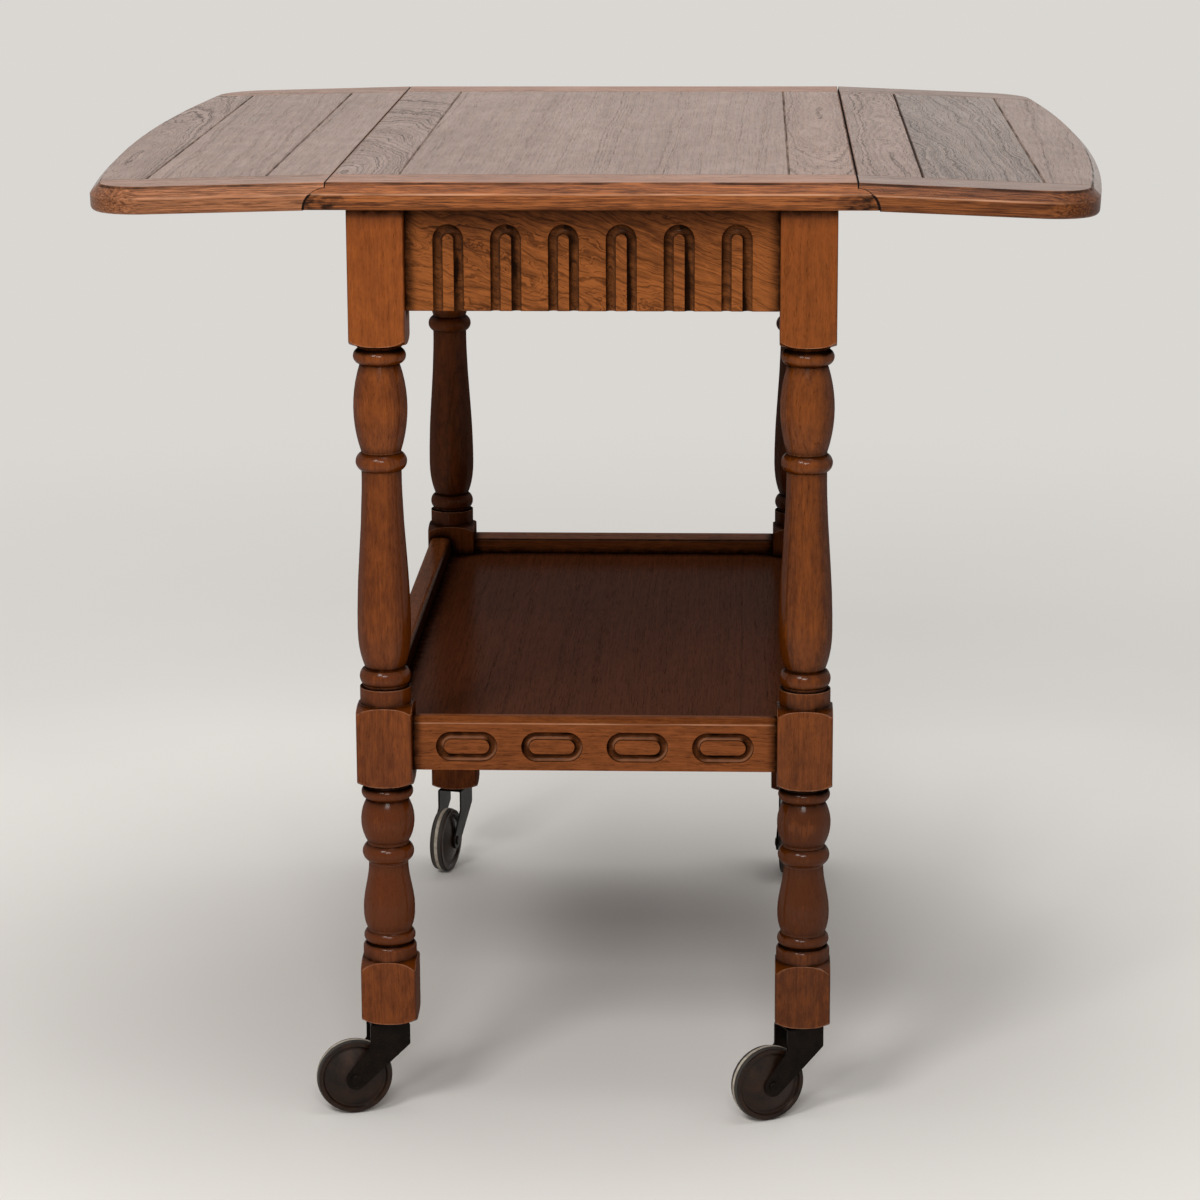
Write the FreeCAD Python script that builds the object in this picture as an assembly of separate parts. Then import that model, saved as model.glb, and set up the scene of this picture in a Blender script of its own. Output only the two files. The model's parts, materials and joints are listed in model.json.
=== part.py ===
import FreeCAD, Part
import math
import os

os.makedirs("parts", exist_ok=True)

# Drop leaf tea trolley. Millimetres, +Z up, front towards -Y.
# The origin is on the floor, in the middle of the plan.

# ---- Driving dimensions ----

# Height
caster_height = 76.5        # floor to the underside of the foot blocks
leg_height = 635.2          # foot block underside to the underside of the top
top_thickness = 20.0

# Legs
leg_section = 42.3          # square blocks
leg_arris = 1.8             # rounding of the blocks' upright corners
foot_block = 50.8
lower_turning = 140.0       # foot block to middle block
middle_block = 62.6
top_block = 104.2           # under the top, with its turned shoulder
shoulder_height = 7.0       # rounded end of a square block
foot_shoulder = 10.5        # rounded upper end of the foot block
shoulder_bulge = 1.0
shoulder_radius = 20.6      # turned radii, largest to smallest
belly_radius = 20.4
bead_radius = 19.9
collar_radius = 19.45
waist_radius = 17.3
throat_radius = 16.2
neck_radius = 15.2

# Top
top_length = 719.0          # front to back over the moulded edges
end_overhang = 37.5         # top beyond the leg centres, front and back
joint_span = 389.0          # between the two rule joint lines
joint_overhang = 34.5       # joint line beyond the leg centres
leaf_reach = 197.0          # joint line to the leaf's outermost point
leaf_bow = 17.8             # how far the bowed edge falls back ...
leaf_bow_half = 320.0       # ... this far from its middle
leaf_corner_radius = 46.0
left_droop = 1.45           # degrees that each raised leaf hangs below level
right_droop = 2.45
edge_slope_width = 8.0      # moulded edge: slope under the top arris
edge_slope_height = 7.3
edge_slope_round = 1.6
edge_bottom_round = 4.0
border_width = 54.5         # cross-grained border strips at both ends
stile_width = 49.5          # joint line to the groove beside the middle panel
leaf_inner_width = 49.1     # joint line to the first groove of a leaf
leaf_outer_width = 58.1     # outermost point to the second groove of a leaf
groove_width = 2.4          # V grooves along the boards
groove_depth = 1.2
cross_groove_width = 1.4    # finer ones along the border strips
cross_groove_depth = 0.7

# Rule joint
step_depth = 3.9            # upright step under the fixed top's arris
cove_clearance = 0.4        # round to cove
lip_clearance = 0.4         # leaf edge to the step, with the leaf level

# Aprons
apron_height = 78.7
apron_thickness = 18.0
end_apron_setback = 13.5    # front and back aprons, behind the leg faces
side_apron_setback = 3.2
apron_arris = 1.0
tenon_thickness = 8.0
tenon_length = 16.0
tenon_shoulder = 6.0

# Carving of the front and back aprons: upright arched flutes
flute_count = 6
flute_pitch = 42.8
flute_height = 65.0
flute_width = 23.0
flute_tongue = 8.0

# Lower rails and shelf
rail_base = 202.5           # foot block underside to the rails' underside
rail_height = 41.0
rail_thickness = 19.0
rail_slope_width = 6.5      # slopes along the top of the front and back rails
rail_slope_height = 3.8
rail_slope_round = 0.6      # under each slope
side_rail_round = 4.5
end_rail_setback = 12.0
side_rail_setback = 2.3
shelf_drop = 16.9           # rail top to shelf surface
shelf_thickness = 10.0
batten_width = 12.0
batten_height = 14.0

# Carving of the front and back rails: long ovals with a raised bar
oval_count = 4
oval_pitch = 65.2
oval_length = 47.0
oval_height = 23.5
oval_groove = 6.2
oval_centre = 18.6          # above the rail's underside

# Fly brackets that hold the leaves up
bracket_length = 155.0      # pivot to tip
bracket_depth = 53.8        # underside of the top to the bracket's lower edge
bracket_rise = 6.7          # rise of the lower edge towards the tip
bracket_tip_radius = 14.0
bracket_top_gap = 1.0
bracket_floor_gap = 0.3
bracket_end_gap = 0.5
bracket_tip_gap = 2.0
bracket_leaf_gap = 0.3      # swung out, under the leaf at the joint line
bracket_pin_radius = 3.0
bracket_pin_seat = 10.0     # how far the pin goes into the wood at both ends

# Back-flap hinges
hinge_inset = 75.0          # hinge middle to the cross groove
hinge_length = 38.0
hinge_plate = 2.0
knuckle_radius = 3.2
knuckle_gap = 0.4
hinge_pin_radius = 1.25
fixed_plate_gap = 0.65      # side apron to the plate
fixed_plate_offset = 4.0    # hinge axis to the plate's near edge
leaf_plate_offset = 5.0
leaf_plate_width = 39.5
pocket_gap = 0.6

# Screws
screw_radius = 1.8
screw_head_radius = 3.6
screw_head_height = 1.8
screw_slot = 0.8
hinge_screw_length = 12.0
hinge_screw_spread = 12.0   # hinge middle to the outer screws
leaf_screw_near = 17.0      # plate edge to the two near screws
leaf_screw_far = 32.0       # plate edge to the single far screw
block_screw_length = 33.0

# Glue blocks under the top
block_size = 22.0
block_length = 70.0
end_block_x = 85.0
side_block_y = 225.0

# Casters
wheel_radius = 29.8
caster_trail = 30.0
front_left_swivel = 194.0   # degrees from +X of the direction in which each
front_right_swivel = 207.0  # wheel trails, counted anticlockwise from above
back_left_swivel = 255.0
back_right_swivel = 262.0
fork_gap = 20.0
fork_metal = 1.6
fork_front = 18.4           # pivot to the edge on the wheel's side
fork_back = 12.8
fork_side_drop = 18.4       # straight height of the fork's sides
fork_bend = 2.4
fork_corner = 3.0
fork_eye = 8.0
stem_radius = 5.0
stem_length = 32.0
stem_head_radius = 8.0
stem_head_height = 2.1
stem_head_gap = 0.4
socket_radius = 6.5
socket_flange_radius = 11.0
socket_flange = 1.2
swivel_gap = 0.3
axle_radius = 2.5
axle_head_radius = 4.2
axle_head = 1.4
axle_head_round = 0.9
hub_gap = 0.6
hub_radius = 6.0
dome_radius = 22.6          # where the wheel's dome meets its flat ring
dome_bulge = 0.3
dish_depth = 0.4            # flat ring, inside the tyre's side
lip_foot_radius = 24.2
lip_radius = 25.4
flange_radius = 28.4
flange_thickness = 1.4
tyre_width = 9.2
tyre_seat_radius = 26.2
tyre_shoulder = 1.0
running_clearance = 0.05

# ---- Derived positions ----

z_foot = caster_height
z_under = z_foot + leg_height
z_top = z_under + top_thickness
joint_x = joint_span / 2
half_length = top_length / 2
leg_x = joint_x - joint_overhang
leg_y = half_length - end_overhang
leg_half = leg_section / 2
leg_inner_x = leg_x - leg_half
leg_inner_y = leg_y - leg_half
turned_stock = leg_half * math.sqrt(2) + shoulder_bulge
stile_line = joint_x - stile_width
border_y = half_length - border_width
hinge_y = border_y - hinge_inset
round_radius = top_thickness - step_depth
cove_radius = round_radius + cove_clearance
apron_z = z_under - apron_height
end_apron_y = leg_y + leg_half - end_apron_setback
side_apron_x = leg_x + leg_half - side_apron_setback
fixed_plate_outer = joint_x - fixed_plate_offset
fixed_plate_inner = side_apron_x + fixed_plate_gap
rail_z = z_foot + rail_base
end_rail_y = leg_y + leg_half - end_rail_setback
side_rail_x = leg_x + leg_half - side_rail_setback
shelf_z = rail_z + rail_height - shelf_drop
bracket_x = side_apron_x - apron_thickness / 2
tyre_half = tyre_width / 2
fork_half = fork_gap / 2 + fork_metal
fork_top = z_foot - socket_flange - swivel_gap

V = FreeCAD.Vector
AXIS_X = V(1, 0, 0)
AXIS_Y = V(0, 1, 0)
AXIS_Z = V(0, 0, 1)


# ---- Helpers ----

class Outline:
    """A closed outline in the XZ plane, drawn from point to point."""

    def __init__(self, x, z):
        self.start = V(x, 0, z)
        self.here = self.start
        self.edges = []

    def line(self, x, z):
        end = V(x, 0, z)
        self.edges.append(Part.LineSegment(self.here, end).toShape())
        self.here = end

    def arc(self, mid_x, mid_z, x, z):
        end = V(x, 0, z)
        self.edges.append(Part.Arc(self.here, V(mid_x, 0, mid_z), end).toShape())
        self.here = end

    def curve(self, points):
        spline = Part.BSplineCurve()
        spline.interpolate([self.here] + [V(x, 0, z) for x, z in points])
        self.edges.append(spline.toShape())
        self.here = V(points[-1][0], 0, points[-1][1])

    def face(self):
        self.line(self.start.x, self.start.z)
        return Part.Face(Part.Wire(self.edges))


def box(x0, x1, y0, y1, z0, z1):
    return Part.makeBox(x1 - x0, y1 - y0, z1 - z0, V(x0, y0, z0))


def rod(radius, start, end):
    along = end - start
    return Part.makeCylinder(radius, along.Length, start, along)


def round_edges(solid, radius, wanted):
    """Round the edges whose two end points both satisfy wanted."""
    edges = [e for e in solid.Edges if all(wanted(v.Point) for v in e.Vertexes)]
    return solid.makeFillet(radius, edges)


def half_ring(centre, spread, radius, start, turn):
    """Half a round ring, swept from the start direction about turn."""
    section = Part.makeCircle(radius, centre + start * spread, turn.cross(start))
    return Part.Face(Part.Wire(section)).revolve(centre, turn, 180)


def fuse(solids):
    return solids[0].fuse(solids[1:]).removeSplitter()


def mirror_x(shape):
    return shape.mirror(V(0, 0, 0), AXIS_X)


def mirror_y(shape):
    return shape.mirror(V(0, 0, 0), AXIS_Y)


def single(shape):
    """The one solid of a boolean result."""
    solids = shape.Solids
    if len(solids) != 1:
        raise ValueError("expected one solid, got %d" % len(solids))
    return solids[0]


def save(name, solids):
    shape = solids[0] if len(solids) == 1 else Part.makeCompound(solids)
    for solid in shape.Solids:
        if not solid.isValid() or solid.Volume <= 0:
            raise ValueError("bad solid in " + name)
    shape.exportStep("parts/" + name + ".step")
    print(name, len(shape.Solids), round(shape.Volume))


# ---- Top ----

def top_outline():
    """Plan of the whole open top: straight ends, bowed sides, round corners."""
    widest = joint_x + leaf_reach
    bow_radius = (leaf_bow_half ** 2 + leaf_bow ** 2) / (2 * leaf_bow)
    bow_centre = widest - bow_radius
    corner_y = half_length - leaf_corner_radius
    reach = bow_radius - leaf_corner_radius
    corner_x = bow_centre + math.sqrt(reach ** 2 - corner_y ** 2)
    angle = math.asin(corner_y / reach)
    touch = V(bow_centre + bow_radius * math.cos(angle), bow_radius * math.sin(angle), 0)
    middle_angle = (angle + math.pi / 2) / 2
    corner_mid = V(corner_x, corner_y, 0) + V(
        math.cos(middle_angle), math.sin(middle_angle), 0) * leaf_corner_radius

    def at(point, sx, sy):
        return V(point.x * sx, point.y * sy, 0)

    end = V(corner_x, half_length, 0)
    edges = [
        Part.LineSegment(at(end, -1, -1), at(end, 1, -1)).toShape(),
        Part.Arc(at(end, 1, -1), at(corner_mid, 1, -1), at(touch, 1, -1)).toShape(),
        Part.Arc(at(touch, 1, -1), V(widest, 0, 0), at(touch, 1, 1)).toShape(),
        Part.Arc(at(touch, 1, 1), at(corner_mid, 1, 1), at(end, 1, 1)).toShape(),
        Part.LineSegment(at(end, 1, 1), at(end, -1, 1)).toShape(),
        Part.Arc(at(end, -1, 1), at(corner_mid, -1, 1), at(touch, -1, 1)).toShape(),
        Part.Arc(at(touch, -1, 1), V(-widest, 0, 0), at(touch, -1, -1)).toShape(),
        Part.Arc(at(touch, -1, -1), at(corner_mid, -1, -1), at(end, -1, -1)).toShape(),
    ]
    return Part.Wire(edges)


def moulded_slab():
    """The whole open top as one board with its moulded edge."""
    slab = Part.Face(top_outline()).extrude(V(0, 0, top_thickness))
    slab.translate(V(0, 0, z_under))
    rim_top = [e for e in slab.Edges if abs(e.BoundBox.ZMin - z_top) < 0.01]
    slab = slab.makeChamfer(edge_slope_height, edge_slope_width, rim_top)
    rim_low = [e for e in slab.Edges if abs(e.BoundBox.ZMax - z_under) < 0.01]
    slab = slab.makeFillet(edge_bottom_round, rim_low)
    slope_z = z_top - edge_slope_height
    rim_mid = [e for e in slab.Edges
               if abs(e.BoundBox.ZMin - slope_z) < 0.01 and abs(e.BoundBox.ZMax - slope_z) < 0.01]
    return slab.makeFillet(edge_slope_round, rim_mid)


def groove(start, end, width, depth):
    """V groove between two boards, in the top surface."""
    along = (end - start).normalize()
    across = along.cross(AXIS_Z) * (width / 2)
    lift = V(0, 0, 1)
    corners = [start - across, start - V(0, 0, depth), start + across,
               start + across + lift, start - across + lift]
    section = Part.Face(Part.makePolygon(corners + [corners[0]]))
    return section.extrude(end - start)


def board_groove(x):
    return groove(V(x, -border_y, z_top), V(x, border_y, z_top), groove_width, groove_depth)


def border_groove(start_x, end_x, y):
    return groove(V(start_x, y, z_top), V(end_x, y, z_top), cross_groove_width, cross_groove_depth)


def joint_cylinder(radius):
    return rod(radius, V(joint_x, -half_length - 5, z_under), V(joint_x, half_length + 5, z_under))


def hinge_recess():
    """What one right-hand hinge needs cut away under the fixed top."""
    half = hinge_length / 2
    seat = box(fixed_plate_inner, fixed_plate_outer, -half, half, z_under - 1, z_under + hinge_plate)
    pocket = box(fixed_plate_outer, joint_x + cove_radius + 2, -half - pocket_gap, half + pocket_gap,
                 z_under - 1, z_under + hinge_plate + pocket_gap)
    barrel = rod(knuckle_radius + pocket_gap, V(joint_x, -half - pocket_gap, z_under),
                 V(joint_x, half + pocket_gap, z_under))
    return fuse([seat, pocket, barrel])


def leaf_recess():
    """Seat of one right-hand hinge plate in the underside of a level leaf."""
    half = hinge_length / 2
    start = joint_x + leaf_plate_offset
    return box(start, start + leaf_plate_width, -half, half, z_under - 1, z_under + hinge_plate)


def at_hinges(shape):
    """Copies of a hinge shape at both hinge stations."""
    copies = []
    for y in (-hinge_y, hinge_y):
        copy = shape.copy()
        copy.translate(V(0, y, 0))
        copies.append(copy)
    return copies


def fixed_top_boards(slab):
    """Panel, stiles and border strips between the rule joints."""
    core = box(-joint_x, joint_x, -half_length - 1, half_length + 1, z_under, z_top)
    rounds = joint_cylinder(round_radius)
    body = slab.common(core.fuse([rounds, mirror_x(rounds)]))
    lines = []
    for x in (-stile_line, stile_line):
        lines.append(board_groove(x))
    for y in (-border_y, border_y):
        lines.append(border_groove(-joint_x - 1, joint_x + 1, y))
    recesses = at_hinges(hinge_recess())
    recesses += [mirror_x(r) for r in recesses]
    body = body.cut(lines + recesses + hinge_screw_holes() + top_holes())
    wide = joint_x + round_radius + 1
    far = half_length + 1
    regions = {
        "top_panel": box(-stile_line, stile_line, -border_y, border_y, z_under, z_top),
        "top_stile_left": box(-wide, -stile_line, -border_y, border_y, z_under, z_top),
        "top_stile_right": box(stile_line, wide, -border_y, border_y, z_under, z_top),
        "top_border_front": box(-wide, wide, -far, -border_y, z_under, z_top),
        "top_border_back": box(-wide, wide, border_y, far, z_under, z_top),
    }
    return {name: single(body.common(region)) for name, region in regions.items()}


def leaf_boards(slab):
    """Boards of a level right-hand leaf."""
    far_x = joint_x + leaf_reach + 1
    far_y = half_length + 1
    body = slab.common(box(joint_x + lip_clearance, far_x, -far_y, far_y, z_under, z_top))
    first = joint_x + leaf_inner_width
    second = joint_x + leaf_reach - leaf_outer_width
    cuts = [joint_cylinder(cove_radius)]
    for x in (first, second):
        cuts.append(board_groove(x))
    for y in (-border_y, border_y):
        cuts.append(border_groove(joint_x, far_x, y))
    cuts += at_hinges(leaf_recess())
    cuts += leaf_screws()
    body = body.cut(cuts)
    regions = {
        "inner": box(joint_x, first, -border_y, border_y, z_under, z_top),
        "middle": box(first, second, -border_y, border_y, z_under, z_top),
        "outer": box(second, far_x, -border_y, border_y, z_under, z_top),
        "border_front": box(joint_x, far_x, -far_y, -border_y, z_under, z_top),
        "border_back": box(joint_x, far_x, border_y, far_y, z_under, z_top),
    }
    return {name: single(body.common(region)) for name, region in regions.items()}


def droop(shape, side):
    """Turn a level leaf part of one side down to its rest position."""
    moved = shape.copy()
    angle = right_droop if side > 0 else -left_droop
    moved.rotate(V(side * joint_x, 0, z_under), AXIS_Y, angle)
    return moved


def make_leaf(slab, side):
    word = "right" if side > 0 else "left"
    for name, board in leaf_boards(slab).items():
        if side < 0:
            board = mirror_x(board)
        save("leaf_" + word + "_" + name, [droop(board, side)])


# ---- Hinges and screws ----

def screw(x, y, z, length):
    """Countersunk slotted screw driven upwards, its head flush at height z."""
    head = Part.makeCone(screw_head_radius, screw_radius, screw_head_height, V(x, y, z), AXIS_Z)
    shank = Part.makeCylinder(screw_radius, length - screw_head_height,
                              V(x, y, z + screw_head_height), AXIS_Z)
    slot = box(x - screw_slot / 2, x + screw_slot / 2, y - screw_head_radius,
               y + screw_head_radius, z - 1, z + screw_slot)
    return single(head.fuse(shank).removeSplitter().cut(slot))


def screw_hole(x, y, z, length):
    """The same screw without its slot, for cutting its seat."""
    head = Part.makeCone(screw_head_radius, screw_radius, screw_head_height, V(x, y, z), AXIS_Z)
    shank = Part.makeCylinder(screw_radius, length - screw_head_height,
                              V(x, y, z + screw_head_height), AXIS_Z)
    return head.fuse(shank).removeSplitter()


def fixed_screw_places():
    """Right-hand hinge screws in the fixed top, both hinges."""
    x = (fixed_plate_inner + fixed_plate_outer) / 2
    return [(x, y + offset) for y in (-hinge_y, hinge_y)
            for offset in (-hinge_screw_spread, hinge_screw_spread)]


def leaf_screw_places():
    """Right-hand hinge screws in the leaf, both hinges."""
    near = joint_x + leaf_plate_offset + leaf_screw_near
    far = joint_x + leaf_plate_offset + leaf_screw_far
    places = []
    for y in (-hinge_y, hinge_y):
        places += [(near, y - hinge_screw_spread), (near, y + hinge_screw_spread), (far, y)]
    return places


def hinge_screw_holes():
    holes = [screw_hole(x, y, z_under, hinge_screw_length) for x, y in fixed_screw_places()]
    return holes + [mirror_x(hole) for hole in holes]


def leaf_screws():
    return [screw_hole(x, y, z_under, hinge_screw_length) for x, y in leaf_screw_places()]


def knuckle(y0, y1, bore):
    tube = rod(knuckle_radius, V(joint_x, y0, z_under), V(joint_x, y1, z_under))
    return tube.cut(rod(bore, V(joint_x, y0 - 1, z_under), V(joint_x, y1 + 1, z_under)))


def fixed_plate():
    """Right-hand hinge half of the fixed top: a plate and its two knuckles."""
    half = hinge_length / 2
    third = hinge_length / 6
    outer = fixed_plate_outer
    plate = box(fixed_plate_inner, outer, -half, half, z_under, z_under + hinge_plate)
    parts = [plate]
    bore = rod(hinge_pin_radius, V(joint_x, -half - 1, z_under), V(joint_x, half + 1, z_under))
    for y0, y1 in ((-half, -third - knuckle_gap / 2), (third + knuckle_gap / 2, half)):
        parts.append(knuckle(y0, y1, hinge_pin_radius))
        parts.append(box(outer, joint_x, y0, y1, z_under, z_under + hinge_plate).cut(bore))
    return single(fuse(parts).cut([screw_hole(x, y + hinge_y, z_under, hinge_screw_length)
                                   for x, y in fixed_screw_places() if y < 0]))


def leaf_plate():
    """Right-hand hinge half of the leaf: a long plate and the middle knuckle."""
    half = hinge_length / 2
    third = hinge_length / 6
    inner = joint_x + leaf_plate_offset
    y0 = -third + knuckle_gap / 2
    y1 = third - knuckle_gap / 2
    bore_radius = hinge_pin_radius + running_clearance
    plate = box(inner, inner + leaf_plate_width, -half, half, z_under, z_under + hinge_plate)
    bore = rod(bore_radius, V(joint_x, -half, z_under), V(joint_x, half, z_under))
    tongue = box(joint_x, inner, y0, y1, z_under, z_under + hinge_plate).cut(bore)
    body = fuse([plate, tongue, knuckle(y0, y1, bore_radius)])
    return single(body.cut([screw_hole(x, y + hinge_y, z_under, hinge_screw_length)
                            for x, y in leaf_screw_places() if y < 0]))


def make_hinges():
    half = hinge_length / 2
    plates = at_hinges(fixed_plate())
    save("hinge_plates_fixed", plates + [mirror_x(p) for p in plates])
    pin = rod(hinge_pin_radius, V(joint_x, -half, z_under), V(joint_x, half, z_under))
    pins = at_hinges(pin)
    save("hinge_pins", pins + [mirror_x(p) for p in pins])
    screws = [screw(x, y, z_under, hinge_screw_length) for x, y in fixed_screw_places()]
    save("hinge_screws_fixed", screws + [mirror_x(s) for s in screws])
    leaf_side = at_hinges(leaf_plate())
    leaf_fixings = [screw(x, y, z_under, hinge_screw_length) for x, y in leaf_screw_places()]
    save("hinge_plates_leaf_right", [droop(p, 1) for p in leaf_side])
    save("hinge_plates_leaf_left", [droop(mirror_x(p), -1) for p in leaf_side])
    save("hinge_screws_leaf_right", [droop(s, 1) for s in leaf_fixings])
    save("hinge_screws_leaf_left", [droop(mirror_x(s), -1) for s in leaf_fixings])


# ---- Legs ----

def shoulder(outline, square, round_end):
    """Turned end of a square block, between its full corners and its round end."""
    mid_radius = (shoulder_radius + turned_stock) / 2 + shoulder_bulge
    mid_z = round_end + 0.36 * (square - round_end)
    if round_end < square:
        outline.line(shoulder_radius, round_end)
        outline.arc(mid_radius, mid_z, turned_stock, square)
    else:
        outline.line(turned_stock, square)
        outline.arc(mid_radius, mid_z, shoulder_radius, round_end)


def bead(outline, low, high, waist, crown):
    """A turned bead between two heights, on a waist of one radius."""
    outline.line(waist, low)
    outline.arc(crown, (low + high) / 2, waist, high)


def vase(outline, low, high, foot, belly, neck, belly_share):
    """A long swelling: it fills out fast above its foot and tapers slowly to its neck."""
    outline.line(foot, low)
    points = []
    for step in range(1, 9):
        share = step / 8
        if share < belly_share:
            full = math.sin(math.pi / 2 * (share / belly_share) ** 0.7)
            radius = foot + (belly - foot) * full
        else:
            full = math.cos(math.pi / 2 * (share - belly_share) / (1 - belly_share)) ** 2
            radius = neck + (belly - neck) * full
        points.append((radius, low + share * (high - low)))
    outline.curve(points)


def lower_stretch(outline, low, height):
    """Collar, bead, vase, bead and ball between the foot block and the middle block."""
    def at(share):
        return low + share * height

    outline.line(shoulder_radius, at(0.049))
    outline.arc(bead_radius, at(0.070), waist_radius, at(0.080))
    bead(outline, at(0.084), at(0.154), waist_radius, bead_radius)
    vase(outline, at(0.165), at(0.541), waist_radius, bead_radius, neck_radius, 0.3)
    bead(outline, at(0.554), at(0.651), throat_radius, bead_radius)
    bead(outline, at(0.664), at(0.904), throat_radius, shoulder_radius)
    bead(outline, at(0.912), at(0.980), waist_radius, bead_radius)
    outline.line(waist_radius, at(0.995))


def upper_stretch(outline, low, height):
    """Collar, bead, long vase, ring, ball and bead up to the top block."""
    def at(share):
        return low + share * height

    outline.line(collar_radius, at(0.002))
    outline.line(collar_radius, at(0.048))
    outline.line(waist_radius, at(0.050))
    bead(outline, at(0.056), at(0.098), waist_radius, collar_radius)
    vase(outline, at(0.103), at(0.650), neck_radius, belly_radius, neck_radius, 0.21)
    bead(outline, at(0.653), at(0.703), neck_radius, collar_radius)
    bead(outline, at(0.707), at(0.944), neck_radius, belly_radius)
    bead(outline, at(0.947), at(0.988), throat_radius, bead_radius)
    outline.line(waist_radius, at(0.995))


def turned_leg():
    """The leg's turning, from the foot block's underside upwards."""
    middle_z = foot_block + lower_turning
    upper_z = middle_z + middle_block
    top_block_z = leg_height - top_block
    outline = Outline(0, 0)
    shoulder(outline, shoulder_height, 0)
    shoulder(outline, foot_block - foot_shoulder, foot_block)
    lower_stretch(outline, foot_block, lower_turning)
    shoulder(outline, middle_z + shoulder_height, middle_z)
    shoulder(outline, upper_z - shoulder_height, upper_z)
    upper_stretch(outline, upper_z, top_block_z - upper_z)
    shoulder(outline, top_block_z + shoulder_height, top_block_z)
    outline.line(turned_stock, leg_height)
    outline.line(0, leg_height)
    return outline.face().revolve(V(0, 0, 0), AXIS_Z, 360)


def leg_blank():
    prism = box(-leg_half, leg_half, -leg_half, leg_half, -1, leg_height + 1)
    upright = [e for e in prism.Edges if e.BoundBox.ZLength > leg_height]
    prism = prism.makeFillet(leg_arris, upright)
    blank = single(turned_leg().common(prism))
    blank.translate(V(0, 0, z_foot))
    return blank


def make_legs(tenons, socket):
    blank = leg_blank().cut(socket)
    for sy, depth in ((-1, "front"), (1, "back")):
        for sx, word in ((-1, "left"), (1, "right")):
            leg = blank.copy()
            leg.translate(V(sx * leg_x, sy * leg_y, 0))
            near = [t for t in tenons if t.BoundBox.intersect(leg.BoundBox)]
            save("leg_" + depth + "_" + word, [single(leg.cut(near))])


# ---- Aprons and rails ----

def end_tenons(y_face, thickness, z0, z1):
    """The two tenons of a front or back member whose outer face is at y_face."""
    middle = y_face - thickness / 2
    y0 = middle - tenon_thickness / 2
    y1 = middle + tenon_thickness / 2
    right = box(leg_inner_x, leg_inner_x + tenon_length, y0, y1,
                z0 + tenon_shoulder, z1 - tenon_shoulder)
    return [right, mirror_x(right)]


def side_tenons(x_face, thickness, z0, z1):
    """The two tenons of a side member whose outer face is at x_face."""
    middle = x_face - thickness / 2
    x0 = middle - tenon_thickness / 2
    x1 = middle + tenon_thickness / 2
    back = box(x0, x1, leg_inner_y, leg_inner_y + tenon_length,
               z0 + tenon_shoulder, z1 - tenon_shoulder)
    return [back, mirror_y(back)]


def flute(x):
    """Cutter for one arched flute in the back apron: a round groove round a tongue."""
    radius = (flute_width - flute_tongue) / 4
    spread = flute_width / 2 - radius
    arch_z = apron_z + flute_height - flute_width / 2
    cuts = [half_ring(V(x, end_apron_y, arch_z), spread, radius, AXIS_X, V(0, -1, 0))]
    for side in (-spread, spread):
        cuts.append(rod(radius, V(x + side, end_apron_y, apron_z - 2), V(x + side, end_apron_y, arch_z)))
    return cuts


def oval(x):
    """Cutter for one long oval groove in the back rail."""
    radius = oval_groove / 2
    spread = oval_height / 2 - radius
    half = (oval_length - oval_height) / 2
    z = rail_z + oval_centre
    cuts = [
        half_ring(V(x + half, end_rail_y, z), spread, radius, AXIS_Z, V(0, 1, 0)),
        half_ring(V(x - half, end_rail_y, z), spread, radius, AXIS_Z, V(0, -1, 0)),
    ]
    for dz in (-spread, spread):
        cuts.append(rod(radius, V(x - half, end_rail_y, z + dz), V(x + half, end_rail_y, z + dz)))
    return cuts


def in_row(count, pitch):
    return [(i - (count - 1) / 2) * pitch for i in range(count)]


def back_apron(tenons):
    y0 = end_apron_y - apron_thickness
    board = box(-leg_inner_x, leg_inner_x, y0, end_apron_y, apron_z, z_under)
    board = round_edges(board, apron_arris, lambda p: p.z < apron_z + 1)
    cuts = []
    for x in in_row(flute_count, flute_pitch):
        cuts += flute(x)
    return single(board.cut(cuts).fuse(tenons))


def back_rail(tenons):
    """Back rail with a slope along both upper edges."""
    y0 = end_rail_y - rail_thickness
    top = rail_z + rail_height
    brow = top - rail_slope_height
    section = [(y0, rail_z), (end_rail_y, rail_z), (end_rail_y, brow),
               (end_rail_y - rail_slope_width, top), (y0 + rail_slope_width, top), (y0, brow)]
    corners = [V(-leg_inner_x, y, z) for y, z in section]
    rail = Part.Face(Part.makePolygon(corners + [corners[0]])).extrude(V(2 * leg_inner_x, 0, 0))
    cuts = []
    for x in in_row(oval_count, oval_pitch):
        cuts += oval(x)
    rail = round_edges(rail.cut(cuts), rail_slope_round, lambda p: abs(p.z - brow) < 0.01)
    return single(rail.fuse(tenons))


def side_rail(tenons):
    top = rail_z + rail_height
    rail = box(side_rail_x - rail_thickness, side_rail_x, -leg_inner_y, leg_inner_y, rail_z, top)
    long_top = [e for e in rail.Edges
                if e.BoundBox.YLength > leg_inner_y and e.BoundBox.ZMin > top - 1]
    return single(rail.makeFillet(side_rail_round, long_top).fuse(tenons))


def side_apron(tenons):
    """Right-hand apron with the notch that holds the folded bracket."""
    inner = side_apron_x - apron_thickness
    board = box(inner, side_apron_x, -leg_inner_y, leg_inner_y, apron_z, z_under)
    floor = z_under - bracket_depth - bracket_floor_gap
    start = -apron_thickness / 2 - bracket_end_gap
    notch = box(inner - 1, side_apron_x + 1, start, bracket_length + bracket_tip_gap,
                floor, z_under + 1)
    pin = bracket_pin()
    return single(board.cut([notch, pin]).fuse(tenons))


# ---- Fly brackets ----

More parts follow.
